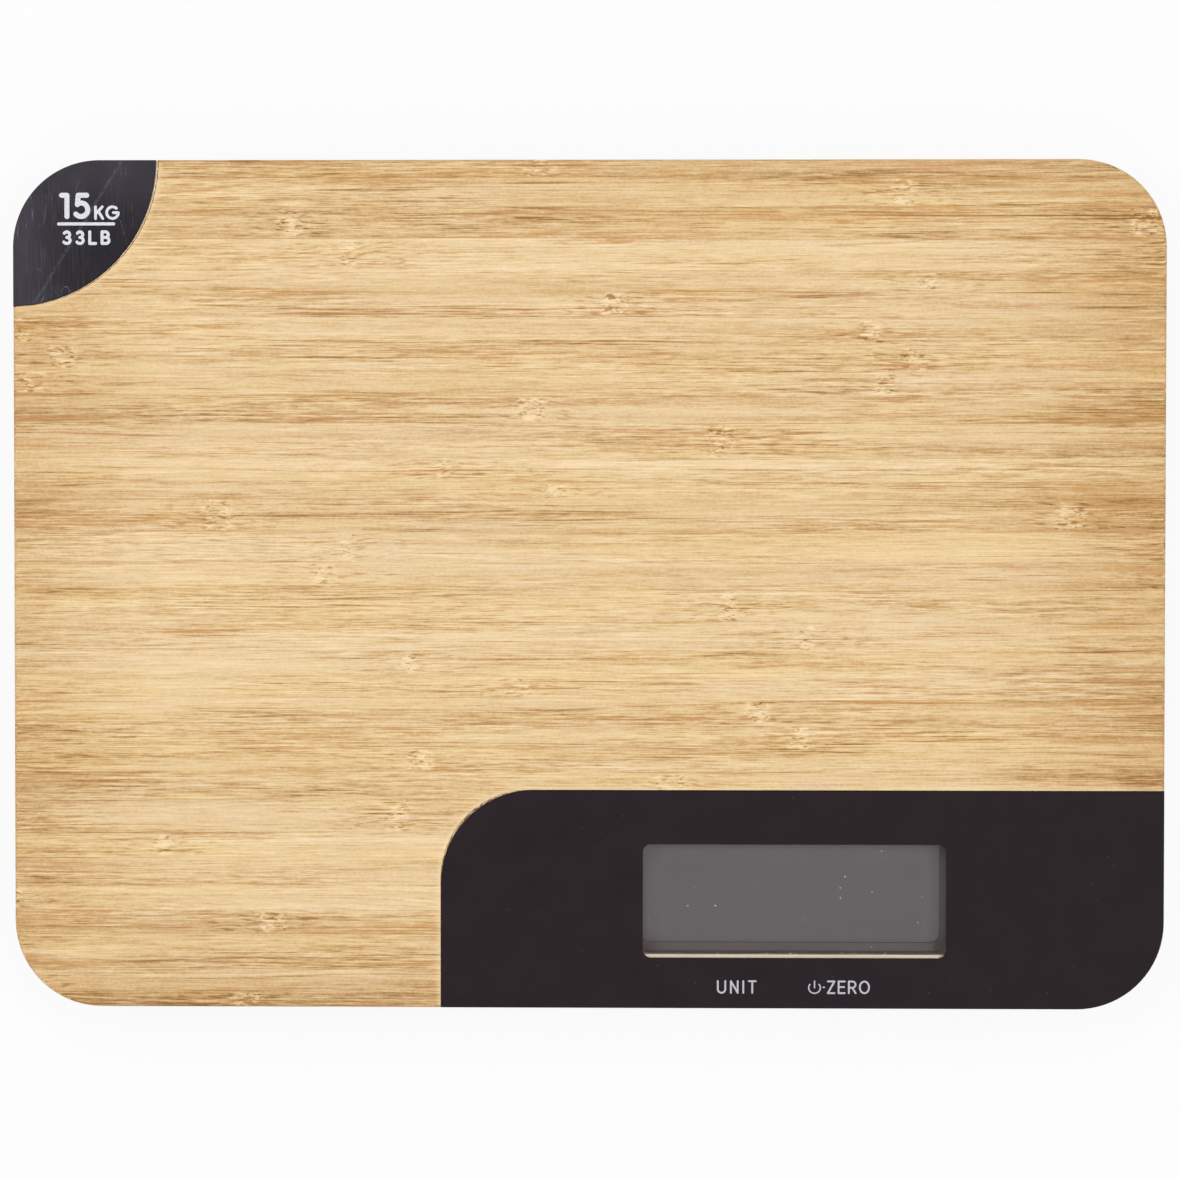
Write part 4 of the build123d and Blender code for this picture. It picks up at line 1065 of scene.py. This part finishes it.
class SCALE_OT_display(Maker, bpy.types.Operator):
    """Finish the display's pane, bezel, glass, reflector and contact strip"""

    bl_idname = "kitchen_scale.display"
    bl_label = "Display"

    def execute(self, context):
        look = context.scene.scale_display
        # Painted shade on the bezel's right end, beside the window's right wall.
        painted_shade_from = span("display_window")[1][0] - BEZEL_SHADE_INSET
        bezel = moulded_finish(
            "bezel_plastic", look.bezel, roughness=0.6, spark=4.0, depth=0.02, shine=0.13, painted_shade_from=painted_shade_from,
        )
        reflector = brushed_finish("reflector", tone(205, 205, 208), along=(0.3, 5.0, 5.0), roughness=0.5)
        dress(pane_finish(look), "display_window")
        dress(bezel, "display_bezel")
        dress(display_finish(look), "display_cell")
        dress(reflector, "display_reflector")
        dress(rubber_finish("contact_rubber", tone(62, 62, 66)), "contact_strip")
        return {"FINISHED"}


class SCALE_OT_case(Maker, bpy.types.Operator):
    """Finish the chassis, cover, battery cap, adhesive sheet and screws"""

    bl_idname = "kitchen_scale.case"
    bl_label = "Case"

    def execute(self, context):
        look = context.scene.scale_case
        screws = ("cover_screws", "board_screws", "load_cell_screws")
        adhesive = moulded_finish(
            "adhesive", tone(216, 216, 208), roughness=0.8, spark=1.0, depth=0.05, shine=0.2,
        )
        dress(moulded_finish("black_case", look.case), "chassis", "bottom_cover", "battery_cap")
        dress(adhesive, "adhesive_sheet")
        dress(brushed_finish("screw_steel", look.steel, along=(3.0, 3.0, 0.4)), *screws)
        return {"FINISHED"}


class SCALE_OT_feet(Maker, bpy.types.Operator):
    """Finish the four feet"""

    bl_idname = "kitchen_scale.feet"
    bl_label = "Feet"

    def execute(self, context):
        look = context.scene.scale_case
        dress(moulded_finish("foot_plastic", look.case, roughness=0.45), *at_corners("foot_cup"))
        dress(rubber_finish("foot_rubber", look.rubber), *at_corners("foot_pad"))
        return {"FINISHED"}


class SCALE_OT_workings(Maker, bpy.types.Operator):
    """Finish the circuit board, keys, load cells, leads and battery"""

    bl_idname = "kitchen_scale.workings"
    bl_label = "Workings"

    def execute(self, context):
        steel = context.scene.scale_case.steel
        switches = ("key_switches", "unit_switch_stem", "zero_switch_stem")
        plungers = ("unit_key_plunger", "zero_key_plunger")
        contacts = ("battery_contact_positive", "battery_contact_negative")
        epoxy = moulded_finish("chip_epoxy", tone(24, 24, 25), roughness=0.25, spark=1.2, shine=0.5)
        coin = brushed_finish("coin_steel", tone(205, 205, 205), along=(4.0, 0.3, 4.0), roughness=0.25)
        strip = brushed_finish("contact_metal", tone(210, 206, 198), along=(0.3, 5.0, 5.0), roughness=0.22)
        plate = brushed_finish("cell_steel", steel, along=(0.15, 5.0, 5.0), roughness=0.4)
        dress(circuit_finish(), "circuit_board")
        dress(epoxy, "controller_chip")
        dress(component_finish(), "board_components")
        dress(moulded_finish("switch_body", tone(44, 44, 46)), *switches)
        dress(moulded_finish("key_plastic", tone(222, 222, 216), roughness=0.45), *plungers)
        dress(plate, *at_corners("load_cell"))
        dress(rubber_finish("gauge_sealant", tone(226, 226, 222)), "strain_gauge_covers")
        dress(rubber_finish("lead_jacket", tone(188, 188, 184)), *at_corners("load_cell_lead"))
        dress(rubber_finish("lead_red", tone(176, 28, 26)), "battery_lead_positive")
        dress(rubber_finish("lead_black", tone(32, 32, 33)), "battery_lead_negative")
        dress(coin, "coin_cell")
        dress(strip, *contacts)
        return {"FINISHED"}


class SCALE_OT_stage(Maker, bpy.types.Operator):
    """Set out the floor, the lamps and the camera"""

    bl_idname = "kitchen_scale.stage"
    bl_label = "Stage"

    def execute(self, context):
        look = context.scene.scale_stage
        context.scene.view_settings.view_transform = "Standard"
        self.floor(context, look)
        self.sky(context, look)
        self.lamps(context, look)
        self.camera(context, look)
        return {"FINISHED"}

    def seen(self, nodes):
        """1 where the camera, a reflection or a see-through surface looks, and 0 for light on the object."""
        paths = [
            nodes.node("ShaderNodeLightPath", output=name)
            for name in ("Is Camera Ray", "Is Glossy Ray", "Is Transmission Ray")
        ]
        return paths[0].most(paths[1]).most(paths[2])

    def floor(self, context, look):
        """Pale floor that shows near white, keeps the shadow and is clear from below."""
        finish = Finish("floor")
        mottle = finish.noise(finish.vector(*finish.places()), 0.02)
        colour = finish.mix(scaled(look.floor, 0.985), tuple(look.floor), mottle)
        finish.set(Base_Color=colour, Roughness=0.9, Specular_IOR_Level=0.0)
        glow = finish.node("ShaderNodeEmission", sockets={"Color": WHITE, "Strength": 1.0})
        above = finish.blend(self.seen(finish) * FLOOR_GLOW, finish.shader, glow)
        under = finish.node("ShaderNodeNewGeometry", output="Backfacing")
        clear = finish.node("ShaderNodeBsdfTransparent")
        material = finish.cover(finish.blend(under, above, clear))
        signs = ((-1, -1), (1, -1), (1, 1), (-1, 1))
        corners = [(across * FLOOR_REACH, along * FLOOR_REACH, 0.0) for across, along in signs]
        mesh = bpy.data.meshes.new("floor")
        mesh.from_pydata(corners, [], [(0, 1, 2, 3)])
        mesh.materials.append(material)
        plane = bpy.data.objects.new("floor", mesh)
        context.scene.collection.objects.link(plane)

    def sky(self, context, look):
        """Even light from all round, dimmer overhead, that looks white to the camera and in reflections."""
        world = bpy.data.worlds.new("studio")
        context.scene.world = world
        world.use_nodes = True
        nodes = Nodes(world.node_tree)
        point = nodes.node("ShaderNodeTexCoord", output="Generated")
        height = nodes.node("ShaderNodeSeparateXYZ", sockets={0: point}, output=2)
        light = look.sky * (1.25 - 0.75 * nodes.step(height, 0.35, 0.95))
        strength = light + self.seen(nodes) * (1.0 - light)
        back = nodes.node("ShaderNodeBackground", sockets={"Color": WHITE, "Strength": strength})
        output = nodes.tree.nodes.new("ShaderNodeOutputWorld")
        nodes.feed(output.inputs["Surface"], back)

    def lamps(self, context, look):
        """Soft lamps round the object, tilted to its middle."""
        for name, (place, share) in LAMPS.items():
            lamp = bpy.data.lights.new(name, "AREA")
            lamp.energy = look.lamp * share
            lamp.shape = "DISK"
            lamp.size = LAMP_SIZE
            stand = bpy.data.objects.new(name, lamp)
            stand.location = place
            x, y, z = place
            stand.rotation_euler = (math.atan2(math.hypot(x, y), z), 0.0, math.atan2(y, x) + math.pi / 2)
            context.scene.collection.objects.link(stand)

    def camera(self, context, look):
        """Camera straight above, as the photograph was taken."""
        lens = bpy.data.cameras.new("camera")
        lens.lens = look.lens
        lens.sensor_width = 36.0
        lens.clip_start = 0.01
        camera = bpy.data.objects.new("camera", lens)
        camera.location = CAMERA_PLACE
        camera.rotation_euler = CAMERA_TILT
        context.scene.collection.objects.link(camera)
        context.scene.camera = camera


OPERATORS = (
    SCALE_OT_platform, SCALE_OT_fibres, SCALE_OT_films, SCALE_OT_key_marks, SCALE_OT_badge_mark,
    SCALE_OT_display, SCALE_OT_case, SCALE_OT_feet, SCALE_OT_workings, SCALE_OT_stage,
)
LOOKS = {
    "scale_bamboo": BambooLook,
    "scale_film": FilmLook,
    "scale_display": DisplayLook,
    "scale_case": CaseLook,
    "scale_stage": StageLook,
}


class SCALE_PT_looks(bpy.types.Panel):
    """Sizes, colours and makers of the scale's looks"""

    bl_idname = "SCALE_PT_looks"
    bl_label = "Kitchen scale"
    bl_space_type = "VIEW_3D"
    bl_region_type = "UI"
    bl_category = "Scale"

    def draw(self, context):
        for name, group in LOOKS.items():
            box = self.layout.box()
            for prop in group.__annotations__:
                box.prop(getattr(context.scene, name), prop)
        for operator in OPERATORS:
            self.layout.operator(operator.bl_idname)


def register():
    for group in LOOKS.values():
        bpy.utils.register_class(group)
    for operator in OPERATORS:
        bpy.utils.register_class(operator)
    bpy.utils.register_class(SCALE_PT_looks)
    for name, group in LOOKS.items():
        setattr(bpy.types.Scene, name, bpy.props.PointerProperty(type=group))


def unregister():
    for name in LOOKS:
        delattr(bpy.types.Scene, name)
    bpy.utils.unregister_class(SCALE_PT_looks)
    for operator in reversed(OPERATORS):
        bpy.utils.unregister_class(operator)
    for group in reversed(LOOKS.values()):
        bpy.utils.unregister_class(group)


def main():
    register()
    for operator in OPERATORS:
        family, name = operator.bl_idname.split(".")
        getattr(getattr(bpy.ops, family), name)()


if __name__ == "__main__":
    main()
